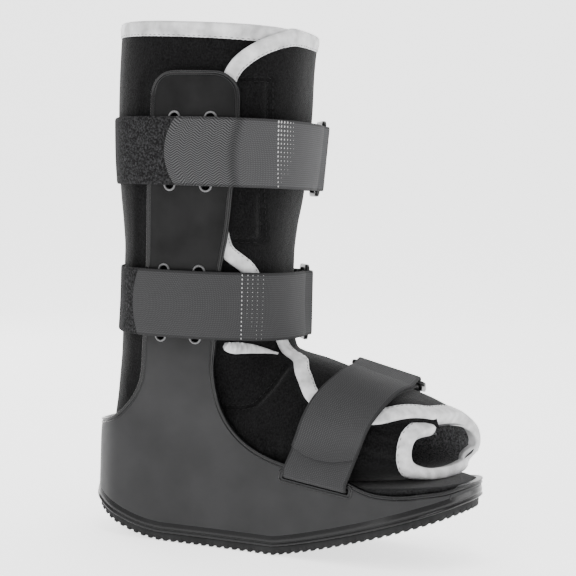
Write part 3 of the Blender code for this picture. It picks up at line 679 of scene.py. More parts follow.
def tape_look():
    look = Look("satin_tape", (0.55, 0.55, 0.555), 0.5, Specular_IOR_Level=0.35)
    along, across = look.strap_place()
    # Painted shade: a large soft noise darkens and lightens the tape's colour, standing in for its soft grey
    # shading
    look.vary(look.noise(11, 3), 0.6, 1.25)
    look.emboss(wave(look, look.plus(along, look.times(across, 0.35)), 0.7), 0.03)
    look.emboss(look.noise(2.6, 3, 0.6, (1, 1, 0.6)), 0.45)
    return look.material


def thread_look(name, value):
    look = Look(name, (value, value, value), 0.6, Specular_IOR_Level=0.15)
    look.vary(look.noise(0.6, 2), 0.75, 1.1)
    look.emboss(look.noise(0.4, 2), 0.06)
    return look.material


def webbing_look(name, value, chevron):
    """Woven webbing: a fine plain weave, with a chevron weave over a length from the tail's end."""
    look = Look(name, (value, value, value * 1.03), 0.8, Specular_IOR_Level=0.12)
    along, across = look.strap_place()
    weft = wave(look, along, 1.25)
    warp = wave(look, look.plus(across, look.times(wave(look, along, 2.5), 0.5)), 1.5)
    pattern = look.plus(look.times(look.times(weft, warp), 0.45), 0.42)
    if chevron:
        zigzag = look.times(look.math("PINGPONG", along, 5.2), 0.62)
        coarse = wave(look, look.plus(across, zigzag), 1.75)
        fine = wave(look, look.plus(along, look.times(across, 0.3)), 1.1)
        weave = look.plus(look.times(coarse, 0.75), look.times(fine, 0.25))
        fade = look.spread(along, chevron, chevron + 16, 1.0, 0.0)
        kept = look.times(pattern, look.math("SUBTRACT", 1.0, fade))
        pattern = look.plus(look.times(weave, fade), kept)
        # A painted shade band: the weave's colour is darkened across the tail where it passes the upright's
        # front edge, and the bump sinks a little there too
        shade_band_gap = look.math("ABSOLUTE", look.math("SUBTRACT", along, TAIL_SHADE_BAND))
        pattern = look.times(pattern, look.spread(shade_band_gap, 0.0, 6.0, 0.62, 1.0, "SMOOTHSTEP"))
    border = look.spread(look.math("ABSOLUTE", across), 22.9, 23.5, 1.0, 0.6)
    pattern = look.times(pattern, border)
    look.vary(pattern, 0.25, 2.0, 0.12, 0.95)
    look.emboss(look.noise(16, 2), 0.25)
    look.emboss(pattern, 0.2)
    return look.material


def pile_look():
    """The looped face that hooks hold to."""
    look = Look("loop_pile", (0.012, 0.012, 0.0124), 0.95, Specular_IOR_Level=0.08)
    tufts = look.noise(1.5, 4, 0.7)
    look.vary(tufts, 0.4, 3.6, 0.42, 0.72)
    look.emboss(tufts, 0.8)
    return look.material


def ring_look():
    look = Look("ring_plastic_look", (0.01, 0.01, 0.0103), 0.3, Specular_IOR_Level=0.4)
    look.vary(look.noise(4, 3), 0.85, 1.2)
    look.emboss(look.noise(1.2, 2), 0.03)
    return look.material


# Frame


def wall_point(angle, z, inset):
    """A point of the frame's wall and the way out of it, for an angle and a height."""
    angle = np.asarray(angle, float)
    z = np.asarray(z, float)
    here = np.stack([*shell_plan(z, angle, inset), z], axis=-1)

    def plan(height, turn):
        return np.stack(shell_plan(height, turn, inset), axis=-1)

    ahead = plan(z, angle + 0.5) - plan(z, angle - 0.5)
    above = plan(z + 1, angle) - plan(z - 1, angle)
    level = unit(np.stack([ahead[..., 1], -ahead[..., 0]], axis=-1))
    lean = -(above * level).sum(axis=-1) / 2
    return here, unit(np.concatenate([level, lean[..., None]], axis=-1))


def wall_angle(x, z):
    """The angle at which the far side of the frame's wall passes a place along it."""
    ring = np.linspace(0, 180, 361)
    found = []
    for at, height in zip(np.atleast_1d(x), np.atleast_1d(z)):
        ring_x = shell_plan(np.full(len(ring), height), ring, 0.0)[0]
        found.append(np.interp(at, ring_x[::-1], ring[::-1]))
    return np.array(found)


def top_edge():
    """Angles and heights along the frame's whole top edge, from the heel over the far side to the toe."""

    def run(angles, z_guess):
        found = []
        for angle in angles:
            z = z_guess
            for _ in range(4):
                z = outline_height(shell_plan(z, angle, 0.0)[0])
            found.append((angle, float(z)))
        return found

    heel = run(np.linspace(180, HEEL_TURN, 60), 84.0)
    toe = run(np.linspace(0, TOE_TURN, 50), 62.0)
    heel_x = shell_plan(heel[-1][1], HEEL_TURN, 0.0)[0]
    toe_x = shell_plan(toe[-1][1], TOE_TURN, 0.0)[0]
    side = OUTLINE[(OUTLINE[:, 0] > heel_x + 1) & (OUTLINE[:, 0] < toe_x - 1)]
    between = list(zip(wall_angle(side[:, 0], side[:, 1]), side[:, 1]))
    return np.array(heel + between + toe[::-1])


def build_rim(material):
    """The raised border along the frame's whole edge."""
    edge = resample(top_edge() * (1.2, 1.0), 1.4) / (1.2, 1.0)
    far = smooth(edge, 4)
    loop = np.concatenate([far, far[-2:0:-1] * (-1, 1)])
    path, out = wall_point(loop[:, 0], loop[:, 1], 0.0)
    path = smooth(path, 3, closed=True)
    rim = sweep("frame_rim", path, beside(path, out, True), out, RIM_PROFILE, closed=True)
    dress(rim, material, "moulded_plastic")


def build_frame_wall(material):
    """The tub and the two uprights, under the raised border."""
    around = 220
    angles = np.arange(around) * 360.0 / around
    low = list(np.linspace(BASE_TOP, ANKLE_TOP, 26))
    levels = low + list(np.linspace(ANKLE_TOP, UPRIGHT_TOP + 10, 44))[1:]

    def rings(inset, first, extra):
        x, y = shell_plan(np.full(around, BASE_TOP), angles, inset)
        made = [np.stack([x, y, first(x)], axis=1)]
        for z in levels:
            x, y = shell_plan(np.full(around, z), angles, inset)
            made.append(np.stack([x, y, np.full(around, z + extra * (z == levels[-1]))], axis=1))
        return made

    def loft(name, made):
        return turn_out(add_mesh(name, np.concatenate(made), tube_faces(len(made), around)))

    body = loft("frame_wall", rings(0.0, lambda x: rocker(x) + OUTSOLE_THICK + GAP, 0))
    reach = SOLE_LENGTH
    block = [(-reach, -reach), (-reach, OUTLINE[0][1]), *OUTLINE, (reach, OUTLINE[-1][1]), (reach, -reach)]
    combine(body, prism("profile", block, BALL_WIDTH), "INTERSECT")
    combine(body, loft("hollow", rings(SHELL_WALL, floor_height, 5)), "DIFFERENCE")
    slot = rounded_box((-SLOT_LENGTH / 2, -SLOT_HEIGHT / 2), (SLOT_LENGTH / 2, SLOT_HEIGHT / 2), 1.2)
    combine(body, prism("slot", at_slot(slot), BALL_WIDTH), "DIFFERENCE")
    for x, z in hole_places():
        turns = np.radians(np.arange(24) * 15.0)
        circle = np.stack([x + RIVET_HOLE / 2 * np.cos(turns), z + RIVET_HOLE / 2 * np.sin(turns)], axis=1)
        combine(body, prism("hole", circle, CALF_WIDTH), "DIFFERENCE")
    body.data.shade_smooth()
    body.data.set_sharp_from_angle(angle=np.radians(32))
    body.data.materials.clear()
    return dress(body, material, "moulded_plastic", "shell")


def prism(name, outline, half):
    """An outline in X and Z, run through from side to side."""
    count = len(outline)
    points = [(x, side * half, z) for side in (-1, 1) for x, z in outline]
    return turn_out(add_mesh(name, points, tube_faces(2, count)))


def at_slot(points):
    """Put an outline round the slot's middle in its place in X and Z, at the slot's slant."""
    turn = np.radians(-SLOT_FALL)
    spin = np.array([[np.cos(turn), np.sin(turn)], [-np.sin(turn), np.cos(turn)]])
    return points @ spin + (SLOT_X, SLOT_Z)


def hole_places():
    """X and Z of the holes above and below each calf strap."""
    places = []
    for strap in (UPPER_STRAP, MIDDLE_STRAP):
        for z in (strap - HOLE_RISE / 2, strap + HOLE_RISE / 2):
            for way in (-1, 1):
                places.append((upright_middle(z) + way * HOLE_SPREAD / 2, z))
    return places


def loop_on_wall(x, z, side):
    """Carry a closed outline in X and Z to one side of the frame's wall."""
    angle = wall_angle(x, z)
    path, out = wall_point(angle, z, 0.0)
    flip = np.array([1, side, 1])
    return path * flip, out * flip


def build_small_beads(moulded, eyelet):
    """Rims of the holes and slots, the lip over the outsole and the mould line at the toe."""
    turns = np.linspace(0, 2 * np.pi, 33)[:-1]
    bead = np.stack([np.cos(turns[::4]), np.sin(turns[::4])], axis=1)

    def lay(name, path, out, size, material, closed=True):
        piece = sweep(name, path, beside(path, out, closed), out, bead * size, closed=closed)
        dress(piece, material, "moulded_plastic")

    for index, (x, z) in enumerate(hole_places()):
        radius = RIVET_HOLE / 2 + 0.8
        for side, word in SIDES:
            path, out = loop_on_wall(x + radius * np.cos(turns), z + radius * np.sin(turns), side)
            lay(f"eyelet_{index}_{word}", path, out, (0.85, 0.9), eyelet)
    half = np.array((SLOT_LENGTH / 2 + 2.4, SLOT_HEIGHT / 2 + 2.0))
    slot = at_slot(resample(rounded_box(-half, half, 2.6, 7), 1.5, closed=True))
    for side, word in SIDES:
        path, out = loop_on_wall(slot[:, 0], slot[:, 1], side)
        lay(f"slot_bead_{word}", path, out, (0.9, 0.55), moulded)
    x, y = shell_plan(np.full(400, BASE_TOP), np.linspace(-180, 180, 401)[:-1], 0.0)
    path = np.stack([x, y, rocker(x) + OUTSOLE_THICK + GAP + 1.3], axis=1)
    path = resample(path, 2.0, closed=True)
    along = tangents(path, True)
    level = unit(np.stack([along[:, 1], -along[:, 0], np.zeros(len(path))], axis=1))
    up = beside(path, level, True)
    up *= np.sign(up[:, 2].sum())
    dress(sweep("base_lip", path, up, level, LIP_PROFILE, closed=True), moulded, "moulded_plastic")
    x = shell_plan(BASE_TOP, MOULD_LINE, 0.0)[0]
    z = np.linspace(rocker(x) + OUTSOLE_THICK + 2.5, outline_height(x) - RIM_WIDTH, 14)
    for side, word in SIDES:
        path, out = wall_point(np.full(len(z), MOULD_LINE * side), z, 0.0)
        lay(f"mould_line_{word}", path, out, (0.55, 0.35), moulded, closed=False)


# Sole


def build_outsole(material):
    """The rubber rocker with its lugs, and shallow grooves across its tread."""
    fine = np.linspace(2.0, 178.0, 4000)
    x, y = sole_plan(fine)
    run = np.concatenate([[0], np.cumsum(np.hypot(np.diff(x), np.diff(y)))])
    count = int(run[-1] / LUG_PITCH)
    steps = []
    for lug in range(count):
        steps += [(lug + part, notch) for part, notch in ((0.0, 0), (0.42, 0), (0.54, 1), (0.88, 1))]
    steps.append((count, 0))
    rings = []
    for place, notch in steps:
        angle = np.interp(place / count * run[-1], run, fine)
        x, half = sole_plan(angle)
        low = rocker(x)
        reach = min(LUG_REACH, 0.6 * half)
        section = (
            (0.0, low + TREAD_DEPTH * notch),
            (half - reach, low + TREAD_DEPTH * notch),
            (half - reach + 1.0, low + EDGE_NOTCH * notch),
            (half - 0.5 - EDGE_NOTCH * notch, low + EDGE_NOTCH * notch),
            (half - EDGE_NOTCH * notch, low + 0.5 + EDGE_NOTCH * notch),
            (half - 0.25 * notch, low + 1.9 * LUG_DEPTH),
            (half, low + 2.2 * LUG_DEPTH),
            (half, low + OUTSOLE_THICK - 0.5),
            (half - 0.5, low + OUTSOLE_THICK),
        )
        ring = [(x, side, z) for side, z in section] + [(x, -side, z) for side, z in section[:0:-1]]
        rings.append(np.array(ring))
    faces = tube_faces(len(rings), len(rings[0]))
    piece = turn_out(add_mesh("outsole_tread", np.concatenate(rings), faces, sharp=30))
    dress(piece, material, "sole_rubber", "outsole")


def build_insole(material):
    """A foam pad with soft edges, a little crowned."""
    around = 240
    angles = np.arange(around) * 360.0 / around
    rings = []
    for inset, rise in INSOLE_PROFILE:
        x, y = shell_plan(np.full(around, BASE_TOP), angles, SHELL_WALL + GAP + inset)
        rings.append(np.stack([x, y, floor_height(x) + GAP + rise], axis=1))
    piece = turn_out(add_mesh("insole_pad", np.concatenate(rings), tube_faces(len(rings), around)))
    dress(piece, material, "foam_fabric", "insole")


# Liner

SIZES = "front_x front_z back_x back_z half square skew flap".split()


def liner_rows(count):
    """The liner's sections from the collar down and out to the toe, as columns of sizes."""
    leg = []
    for share in (1.0, 0.985, 0.965, 0.94, 0.91, 0.86, 0.76, 0.685, 0.62, 0.57, 0.535, 0.5, 0.47):
        z = share * COLLAR_HEIGHT
        tilt = COLLAR_FALL / 2 * ease((share - 0.86) / 0.14)
        square, flap = (float(size_at(LEG, name, share)) for name in ("square", "flap"))
        front, back = float(leg_plan(z, 0.0)[0]), float(leg_plan(z, 180.0)[0])
        leg.append((front, z - tilt, back, z + tilt, float(leg_plan(z, 90.0)[1]), square, 0.0, flap))
    foot = [section_row(t) for t in np.linspace(0, len(FOOT["front_x"]) - 1, 21)]
    table = np.array(leg + foot)
    at = np.arange(len(table), dtype=float)
    front, back = np.diff(table[:, :2], axis=0), np.diff(table[:, 2:4], axis=0)
    gaps = np.linalg.norm(front, axis=1) + np.linalg.norm(back, axis=1)
    run = np.concatenate([[0], np.cumsum(gaps)])
    fine = np.interp(np.linspace(0, run[-1], count), run, at)
    return {name: follow(fine, at, table[:, i]) for i, name in enumerate(SIZES)}


def section_row(t):
    """The sizes of a section of the foot, at a place between the rows of its table."""
    rows = np.arange(len(FOOT["front_x"]), dtype=float)
    row = {name: float(follow(t, rows, values)) for name, values in FOOT.items()}
    length, width = SOLE_LENGTH / 2, BALL_WIDTH / 2
    return (
        row["front_x"] * length,
        row["front_z"] * INSTEP_HEIGHT,
        row["back_x"] * length,
        row["back_z"] * INSTEP_HEIGHT,
        row["width"] * width,
        row["square"],
        row["skew"] * width,
        row["flap"],
    )


def flap_lift(angle):
    return FLAP_THICK * (1 - ease((angle - FLAP_FULL) / (FLAP_GONE - FLAP_FULL)))


def section_point(sizes, angle, lift):
    """Points of sections, moved out by a lift."""
    front_x, front_z, back_x, back_z, half, square, skew = sizes[:7]
    c, s = rounded(angle, square)
    reach = np.hypot(front_x - back_x, front_z - back_z) / 2
    way_x, way_z = (front_x - back_x) / (2 * reach), (front_z - back_z) / (2 * reach)
    x = (front_x + back_x) / 2 + way_x * (reach + lift) * c + skew * s
    z = (front_z + back_z) / 2 + way_z * (reach + lift) * c
    return np.stack(np.broadcast_arrays(x, (half + lift) * s, z), axis=-1)


def foot_point(t, angle, lift):
    return section_point(section_row(t), angle, lift)


class Pocket:
    """How far out the frame lets the liner come, looked up by height and way."""

    def __init__(self, inset):
        self.heights = np.arange(20.0, 400.0, 3.0)
        self.ways = np.linspace(-np.pi, np.pi, 361)
        ring = np.linspace(-180, 180, 361)
        self.middle = np.empty(len(self.heights))
        self.reach = np.empty((len(self.heights), len(self.ways)))
        for i, z in enumerate(self.heights):
            x, y = shell_plan(np.full(361, z), ring, inset)
            self.middle[i] = (x.max() + x.min()) / 2
            way = np.arctan2(y, x - self.middle[i])
            order = np.argsort(way)
            self.reach[i] = np.interp(self.ways, way[order], np.hypot(y, x - self.middle[i])[order])

    def share(self, x, y, z):
        """Each point's middle, and the share of its distance from there that fits."""
        row = np.clip((z - self.heights[0]) / 3.0, 0, len(self.heights) - 1.001)
        i = row.astype(int)
        part = row - i
        middle = self.middle[i] * (1 - part) + self.middle[i + 1] * part
        column = (np.arctan2(y, x - middle) + np.pi) / (2 * np.pi) * 360
        j = np.clip(column.astype(int), 0, 359)
        off = column - j
        low = self.reach[i, j] * (1 - off) + self.reach[i, j + 1] * off
        high = self.reach[i + 1, j] * (1 - off) + self.reach[i + 1, j + 1] * off
        far = low * (1 - part) + high * part
        return middle, np.minimum(far / np.maximum(np.hypot(y, x - middle), 1e-6), 1.0)


def frame_hold(x, z):
    """1 inside the frame's side outline and close to it, falling to 0 clear of it."""
    outline = side_outline(30, 50, 6)
    ends = [(-SOLE_LENGTH, 0), (-SOLE_LENGTH, outline[0][1]), (SOLE_LENGTH, outline[-1][1]), (SOLE_LENGTH, 0)]
    start = np.concatenate([ends[:2], outline, ends[2:]])
    along = np.roll(start, -1, axis=0) - start
    hold = np.empty(len(x))
    for low in range(0, len(x), 8000):
        off = np.stack([x[low : low + 8000], z[low : low + 8000]], axis=-1)[:, None] - start
        part = np.clip((off * along).sum(axis=2) / (along**2).sum(axis=1), 0, 1)
        near = np.linalg.norm(off - along * part[..., None], axis=2).min(axis=1)
        crossed = (off[..., 1] >= 0) != (off[..., 1] >= along[:, 1])
        rise = np.where(along[:, 1] == 0, 1, along[:, 1])
        inside = (crossed & (off[..., 0] < off[..., 1] / rise * along[:, 0])).sum(axis=1) % 2 == 1
        hold[low : low + 8000] = 1 - ease((np.where(inside, -near, near) - HOLD_NEAR) / HOLD_FADE)
    return hold


def fit_in_frame(points, inset):
    """Draw points in behind the frame's wall and over the insole."""
    held = points.reshape(-1, 3).copy()
    held[:, 2] = np.maximum(held[:, 2], insole_top(held[:, 0]) + GAP + inset)
    hold = frame_hold(held[:, 0], held[:, 2])
    middle, share = Pocket(SHELL_WALL + 2.6 * GAP + inset).share(*held.T)
    share = 1 + (share - 1) * hold
    held[:, 0] = middle + (held[:, 0] - middle) * share
    held[:, 1] *= share
    return held.reshape(points.shape)


def line_distance(points, line):
    """How far points in X and Z lie from a line of points."""
    best = np.full(len(points), 1e9)
    for a, b in zip(line[:-1], line[1:]):
        along = b - a
        part = np.clip((points - a) @ along / (along @ along), 0, 1)
        best = np.minimum(best, np.linalg.norm(points - a - part[:, None] * along, axis=1))
    return best


# Seams and creases of the near side: depth, half width, then X and Z of points along each, in
# millimetres. A depth below zero is a ridge
CREASES = (
    (2.1, 2.2, ((-26, 347), (-7, 348), (-6.5, 318))),
    (2.1, 2.2, ((-11, 270), (-11.5, 231), (-32, 230))),
    (2.9, 2.6, ((7, 137), (1, 124), (-11, 109), (-22, 106), (-36, 105))),
    (-1.2, 4.5, ((12, 128), (2, 112), (-10, 100))),
    (1.4, 2.6, ((-14, 66), (-19, 80))),
    (1.2, 2.4, ((-7, 68), (-11, 83))),
    (1.3, 2.6, ((1, 70), (-2, 86))),
    (1.2, 2.6, ((9, 70), (8, 88))),
    (-1.1, 3.0, ((-3, 70), (-6, 82))),
    (1.6, 6.0, ((28, 104), (12, 92), (-4, 84))),
    (1.1, 2.6, ((70, 84), (84, 79), (98, 78))),
    (1.0, 2.4, ((72, 92), (86, 90), (100, 92))),
    (-0.9, 3.0, ((72, 88), (88, 84), (100, 85))),
    (1.2, 2.6, ((80, 101), (92, 98), (104, 100))),
)
STITCHED = CREASES[:3]


class Liner:
    """The liner's surface, with what its bindings follow."""

    rows = 300
    around = 300

    def __init__(self):
        self.sizes = liner_rows(self.rows)
        past = np.linspace(0, 360 - FLAP_STEP, self.around)
        beside = np.minimum(past, past[::-1])
        flap = self.sizes["flap"][:, None]
        self.angles = FLAP_USUAL + past + (flap - FLAP_USUAL) * (1 - ease(beside / FLAP_SPREAD))
        stack = [self.sizes[name][:, None] for name in SIZES]
        outer = self.crease(fit_in_frame(section_point(stack, self.angles, flap_lift(self.angles)), 0.0))
        inner = fit_in_frame(section_point(stack, self.angles, np.full_like(self.angles, -FOAM)), FOAM)
        turned = ease(1 - (past[-1] - past) / CURL_TURN)
        curled = CURL * turned * ease(1 - (self.rows - 1 - np.arange(self.rows)) / CURL_ROWS)[:, None]
        middle = inner[-1].mean(axis=0)
        move = unit(middle - outer) * curled[..., None]
        self.outer, self.inner = outer + move, inner + move
        self.out = self.normals(self.outer)

    def normals(self, points):
        down = np.gradient(points, axis=0)
        around = np.gradient(points, axis=1)
        out = unit(np.cross(around, down))
        middle = points.mean(axis=1, keepdims=True)
        away = ((points - middle) * out).sum(axis=-1, keepdims=True)
        return out * np.sign(away.mean(axis=1, keepdims=True))

    def crease(self, points):
        """Press seams and folds into the near side, and a soft unevenness all over."""
        flat = points.reshape(-1, 3)
        out = self.normals(points).reshape(-1, 3)
        near = ease((-flat[:, 1] - 2) / 14)
        push = np.zeros(len(flat))
        for depth, half, line in CREASES:
            away = line_distance(flat[:, [0, 2]], np.array(line, float))
            push += depth * np.exp(-((away / half) ** 2)) * near
        swell = np.sin(flat[:, 2] / 17 + flat[:, 0] / 31) * np.sin(flat[:, 1] / 19 + flat[:, 2] / 43)
        push += 0.35 * (1 - swell) * 0.5
        push *= ease((COLLAR_HEIGHT - 12 - flat[:, 2]) / 20)
        return (flat - out * push[:, None]).reshape(points.shape)

    def build(self, material, foam):
        """The outer cloth, with a foam lining of half as many points."""
        rows, around = self.rows, self.around
        faces = grid_faces(rows, around, wrap_cols=True)
        body = add_mesh("liner_cloth_layer", self.outer.reshape(-1, 3), faces)
        self.tree = BVHTree.FromPolygons([tuple(p) for p in self.outer.reshape(-1, 3)], faces)
        dress(body, material, "foam_fabric", "liner")
        coarse = self.inner[::2, ::2]
        rows, around = coarse.shape[:2]
        faces = [face[::-1] for face in grid_faces(rows, around, wrap_cols=True)]
        lining = add_mesh("liner_foam_layer", coarse.reshape(-1, 3), faces)
        dress(lining, foam, "foam_fabric")

    def near_side(self, line):
        """Points and ways out where a line in X and Z lies on the near side."""
        found = [self.tree.ray_cast(Vector((x, -200.0, z)), Vector((0, 1, 0))) for x, z in line]
        spots = np.array([tuple(hit[0]) for hit in found])
        outs = np.array([tuple(hit[1]) for hit in found])
        return spots, outs * -np.sign(outs[:, 1:2])


def tape_profile(wall, puffs, rolls):
    """A folded tape over an edge, for each point of its path: past the edge and down both faces."""
    legs = np.linspace(1, 0, 10)
    swell = TAPE_PUFF * np.sin(np.pi * (1 - legs) * 0.62)
    turns = np.radians(np.linspace(70, -70, 9))
    made = []
    for thick, puff, roll in zip(wall, puffs, rolls):
        pleat = puff * np.sin(np.pi * np.clip((1 - legs) / 0.7, 0, 1))
        outer = np.stack([-TAPE * legs + roll * legs, TAPE_LIFT + swell + pleat], axis=1)
        inner = np.stack([-TAPE * 0.6 * legs[::-1], -thick - 0.2 - 0.6 * swell[::-1]], axis=1)
        half = (thick + 1.5 * TAPE_PUFF + 0.4) / 2
        past = (0.25 * half + 0.6) * np.cos(turns)
        cap = np.stack([past, (0.3 - thick) / 2 + half * np.sin(turns)], axis=1)
        made.append(np.concatenate([outer, cap, inner, [(-TAPE, -0.5)]]))
    return np.array(made)


def drape(tree, path, across, out, profile):
    """Lay the outer leg of a tape on the cloth instead of straight behind its edge."""
    profile = profile.copy()
    for i in range(len(path)):
        for j in range(8):
            side, rise = profile[i, j]
            place = path[i] + across[i] * side
            spot = tree.find_nearest(Vector(place))[0]
            off = (np.array(spot) - place) @ out[i]
            profile[i, j, 1] = rise + np.clip(off, -3.0, 4.0)
    profile[:, :8, 1] = smooth(profile[:, :8, 1], 3)
    return profile


def bind(name, tree, rows, wall, pucker, seed, looks, round_end=False):
    """Bind an edge. Rows hold the path, the way out and points of the cloth behind the edge."""
    whole = resample(np.concatenate([*rows, np.asarray(wall, float)[:, None]], axis=1), 1.0)
    path, out, wall = smooth(whole[:, :3], 36), unit(smooth(whole[:, 3:6], 70)), smooth(whole[:, 9], 30)
    way = tangents(path)
    across = unit(np.cross(out, way))
    across *= np.sign((across * (path - whole[:, 6:9])).sum())
    out = np.cross(across, way)
    out *= np.sign((out * whole[:, 3:6]).sum())
    run = length_along(path)
    puffs = (ripple(run, 3.8, seed) + 0.6 * ripple(run, 2.6, seed + 1)) * pucker
    profile = drape(tree, path, across, out, tape_profile(wall, puffs, ripple(run, 3.4, seed + 2) * 0.2))
    if round_end:
        left = np.clip((run[-1] - run) / (TAPE * 0.6), 0, 1)
        middle = np.stack([np.full(len(run), -TAPE / 2), -wall / 2], axis=1)[:, None]
        profile = middle + (profile - middle) * np.sqrt(np.maximum(1 - (1 - left) ** 2, 0.01))[:, None, None]
    tape, thread = looks
    dress(sweep(name, path, across, out, profile), tape, "foam_fabric")
    at = np.arange(3, len(path) - (10 if round_end else 3), 4)
    spots = path[at] + across[at] * profile[at, 1, :1] + out[at] * profile[at, 1, 1:]
    dashes(f"{name}_stitches", spots, way[at], out[at], 2.2, 0.28, thread, "foam_fabric")


def build_bindings(liner, looks):
    """Light tape over the collar, the panel's edge and the toe opening."""
    last = liner.rows - 1
    past = int(np.searchsorted(liner.angles[0], FLAP_GONE + 16))
    stop = int(np.searchsorted(liner.angles[last], TAPE_END))

    def edge(rows, cols, behind_rows, behind_cols):
        return liner.outer[rows, cols], liner.out[rows, cols], liner.outer[behind_rows, behind_cols]

    back = np.arange(past - 18, liner.around)
    bind("collar_tape", liner.tree, edge(0, back, 8, back), np.full(len(back), FOAM), 1.0, 11, looks)
    front, down, toe = np.arange(past, 0, -1), np.arange(last), np.arange(1, stop)
    parts = [edge(0, front, 8, front), edge(down, 0, down, 8), edge(last, toe, last - 8, toe)]
    rows = [np.concatenate(column) for column in zip(*parts)]
    wall = np.concatenate([
        np.full(len(front), FOAM + FLAP_THICK),
        np.full(len(down), FLAP_THICK * 0.8),
        FOAM + flap_lift(liner.angles[last, toe]),
    ])
    bind("panel_tape", liner.tree, rows, wall, 0.85, 31, looks, round_end=True)


def build_seams(liner, tape, thread):
    """The near side's stitched seams, and the puckered end of a binding in the ankle's fold."""
    for index, (_, _, line) in enumerate(STITCHED):
        for side in (-1, 1):
            path = smooth(resample(np.array(line, float), 1.0), 6)
            across = tangents(path)[:, ::-1] * (-1, 1)
            spots, outs = liner.near_side(path + across * side * 1.7)
            at = np.arange(2, len(spots) - 2, 4)
            name = f"seam_{index}_{'left' if side < 0 else 'right'}"
            ways = tangents(spots)[at]
            dashes(name, spots[at] + outs[at] * 0.1, ways, outs[at], 2.6, 0.3, thread, "foam_fabric")
    line = np.array([(-35, 153), (-31, 150.5), (-24, 150.5), (-17, 150), (-10, 148.5), (-2, 145.5)], float)
    path, out = liner.near_side(resample(line, 0.6))
    path, out = smooth(path, 8), unit(smooth(out, 8))
    share = np.linspace(0, 1, len(path))
    half = np.interp(share, (0, 0.06, 0.25, 0.6, 1), (1.5, 3.6, 4.6, 3.2, 0.4))
    folds = ripple(length_along(path), 3.6, 5) * np.interp(share, (0, 0.5, 1), (2.6, 1.3, 0.1))
    turns = np.linspace(0, 2 * np.pi, 21)[:-1]
    profile = np.stack([
        half[:, None] * np.cos(turns),
        (1.3 + folds[:, None] * (0.4 + np.cos(turns - 0.9) ** 2)) * np.sin(turns) + 0.6,
    ], axis=-1)
    across = unit(np.cross(out, tangents(path)))
    dress(sweep("ankle_tape", path, across, out, profile), tape, "foam_fabric")


# Straps


def calf_lift(angle):
    turn = abs((angle + 180) % 360 - 180)
    over = SHELL_WALL + 2 * GAP + STRAP_EASE + STRAP_THICK / 2
    under = 3 * GAP + STRAP_THICK / 2
    proud = STAND_OFF * ease((STAND_GONE - turn) / (STAND_GONE - STAND_FULL))
    return under + (over - under) * ease((LIFT_GONE - turn) / (LIFT_GONE - LIFT_FULL)) + proud


def ring_lift(strap_lift):
    return strap_lift + STRAP_THICK / 2 + GAP + RING_THICK / 2


def calf_point(z, angle, lift):
    x, y = leg_plan(z, angle, lift)
    return np.array([x, y, z], float)


def square_frame(middle, around, across, angle):
    around = around / np.linalg.norm(around)
    across = across - around * (across @ around)
    return middle, around, across / np.linalg.norm(across), angle


def calf_ring_frame(height):
    lift = ring_lift(calf_lift(RING_ANGLE))

    def place(rise, turn):
        return calf_point(height + rise, RING_ANGLE + turn, lift)

    top, bottom = place(STRAP_WIDTH / 2, 0), place(-STRAP_WIDTH / 2, 0)
    return square_frame((top + bottom) / 2, place(0, 5) - place(0, -5), top - bottom, RING_ANGLE)


def hook(bar, way, out, fall):
    """Points of webbing round a ring's bar."""
    turn = (RING_THICK + STRAP_THICK) / 2 + GAP
    far = RING_BAR / 2 - FOLD_SET
    points = [bar - way * RING_BAR / 2 - out * turn]
    for psi in np.linspace(0, np.pi, 19):
        points.append(bar + way * (far + turn * np.sin(psi)) - out * turn * np.cos(psi))
    corner = bar - way * RING_BAR / 2 + out * RING_THICK / 2
    reach = STRAP_THICK / 2 + 1.4 * GAP
    for psi in np.radians(np.linspace(0, fall, 1 + int(np.ceil(fall / 10)))):
        points.append(corner + (out * np.cos(psi) - way * np.sin(psi)) * reach)
    return points


def turn_off(point, ring, way):
    per_degree = np.linalg.norm(point(ring + 5) - point(ring - 5)) / 10
    return ring - way * (RING_WINDOW / 2 + RING_BAR + RING_RUN) / per_degree


def calf_strap_lines(height, start, tail, steps, way, shifts, bulge):
    """Lines of a calf strap or tab, side by side, and the number of each line's first outer point."""
    middle, around, across, angle = calf_ring_frame(height)
    out = np.cross(around, across)
    lines = []
    for shift in shifts:
        z = height + shift * STRAP_WIDTH
        bar = middle + across * shift * STRAP_WIDTH - around * way * (RING_WINDOW + RING_BAR) / 2
        stop = turn_off(lambda a: calf_point(z, a, calf_lift(a)), angle, way)
        end = tail - bulge * (1 - (2 * shift) ** 2)
        over = STRAP_THICK + 2 * GAP
        inner = [calf_point(z, a, calf_lift(a)) for a in np.linspace(start, stop, steps[0])]
        outer = [calf_point(z, a, calf_lift(a) + over) for a in np.linspace(stop, end, steps[1])]
        lines.append(inner + hook(bar, around * way, out, CALF_FALL) + outer)
    return np.array(lines), steps[0]


def foot_strap_place(angle, share, lift):
    turn = abs(angle)
    rear = size_at(FOREFOOT, "rear", turn)
    front = size_at(FOREFOOT, "front", turn)
    return foot_point(front + (rear - front) * share, angle, lift)


def foot_strap_lift(angle):
    return flap_lift(angle) * ease((angle + FOOT_LEAVES) / 20) + 2 * GAP + STRAP_THICK / 2


def frame_side(x, z):
    ring_x, ring_y = shell_plan(np.full(91, z), np.linspace(0, 180, 91), 0.0)
    return np.interp(x, ring_x[::-1], ring_y[::-1])


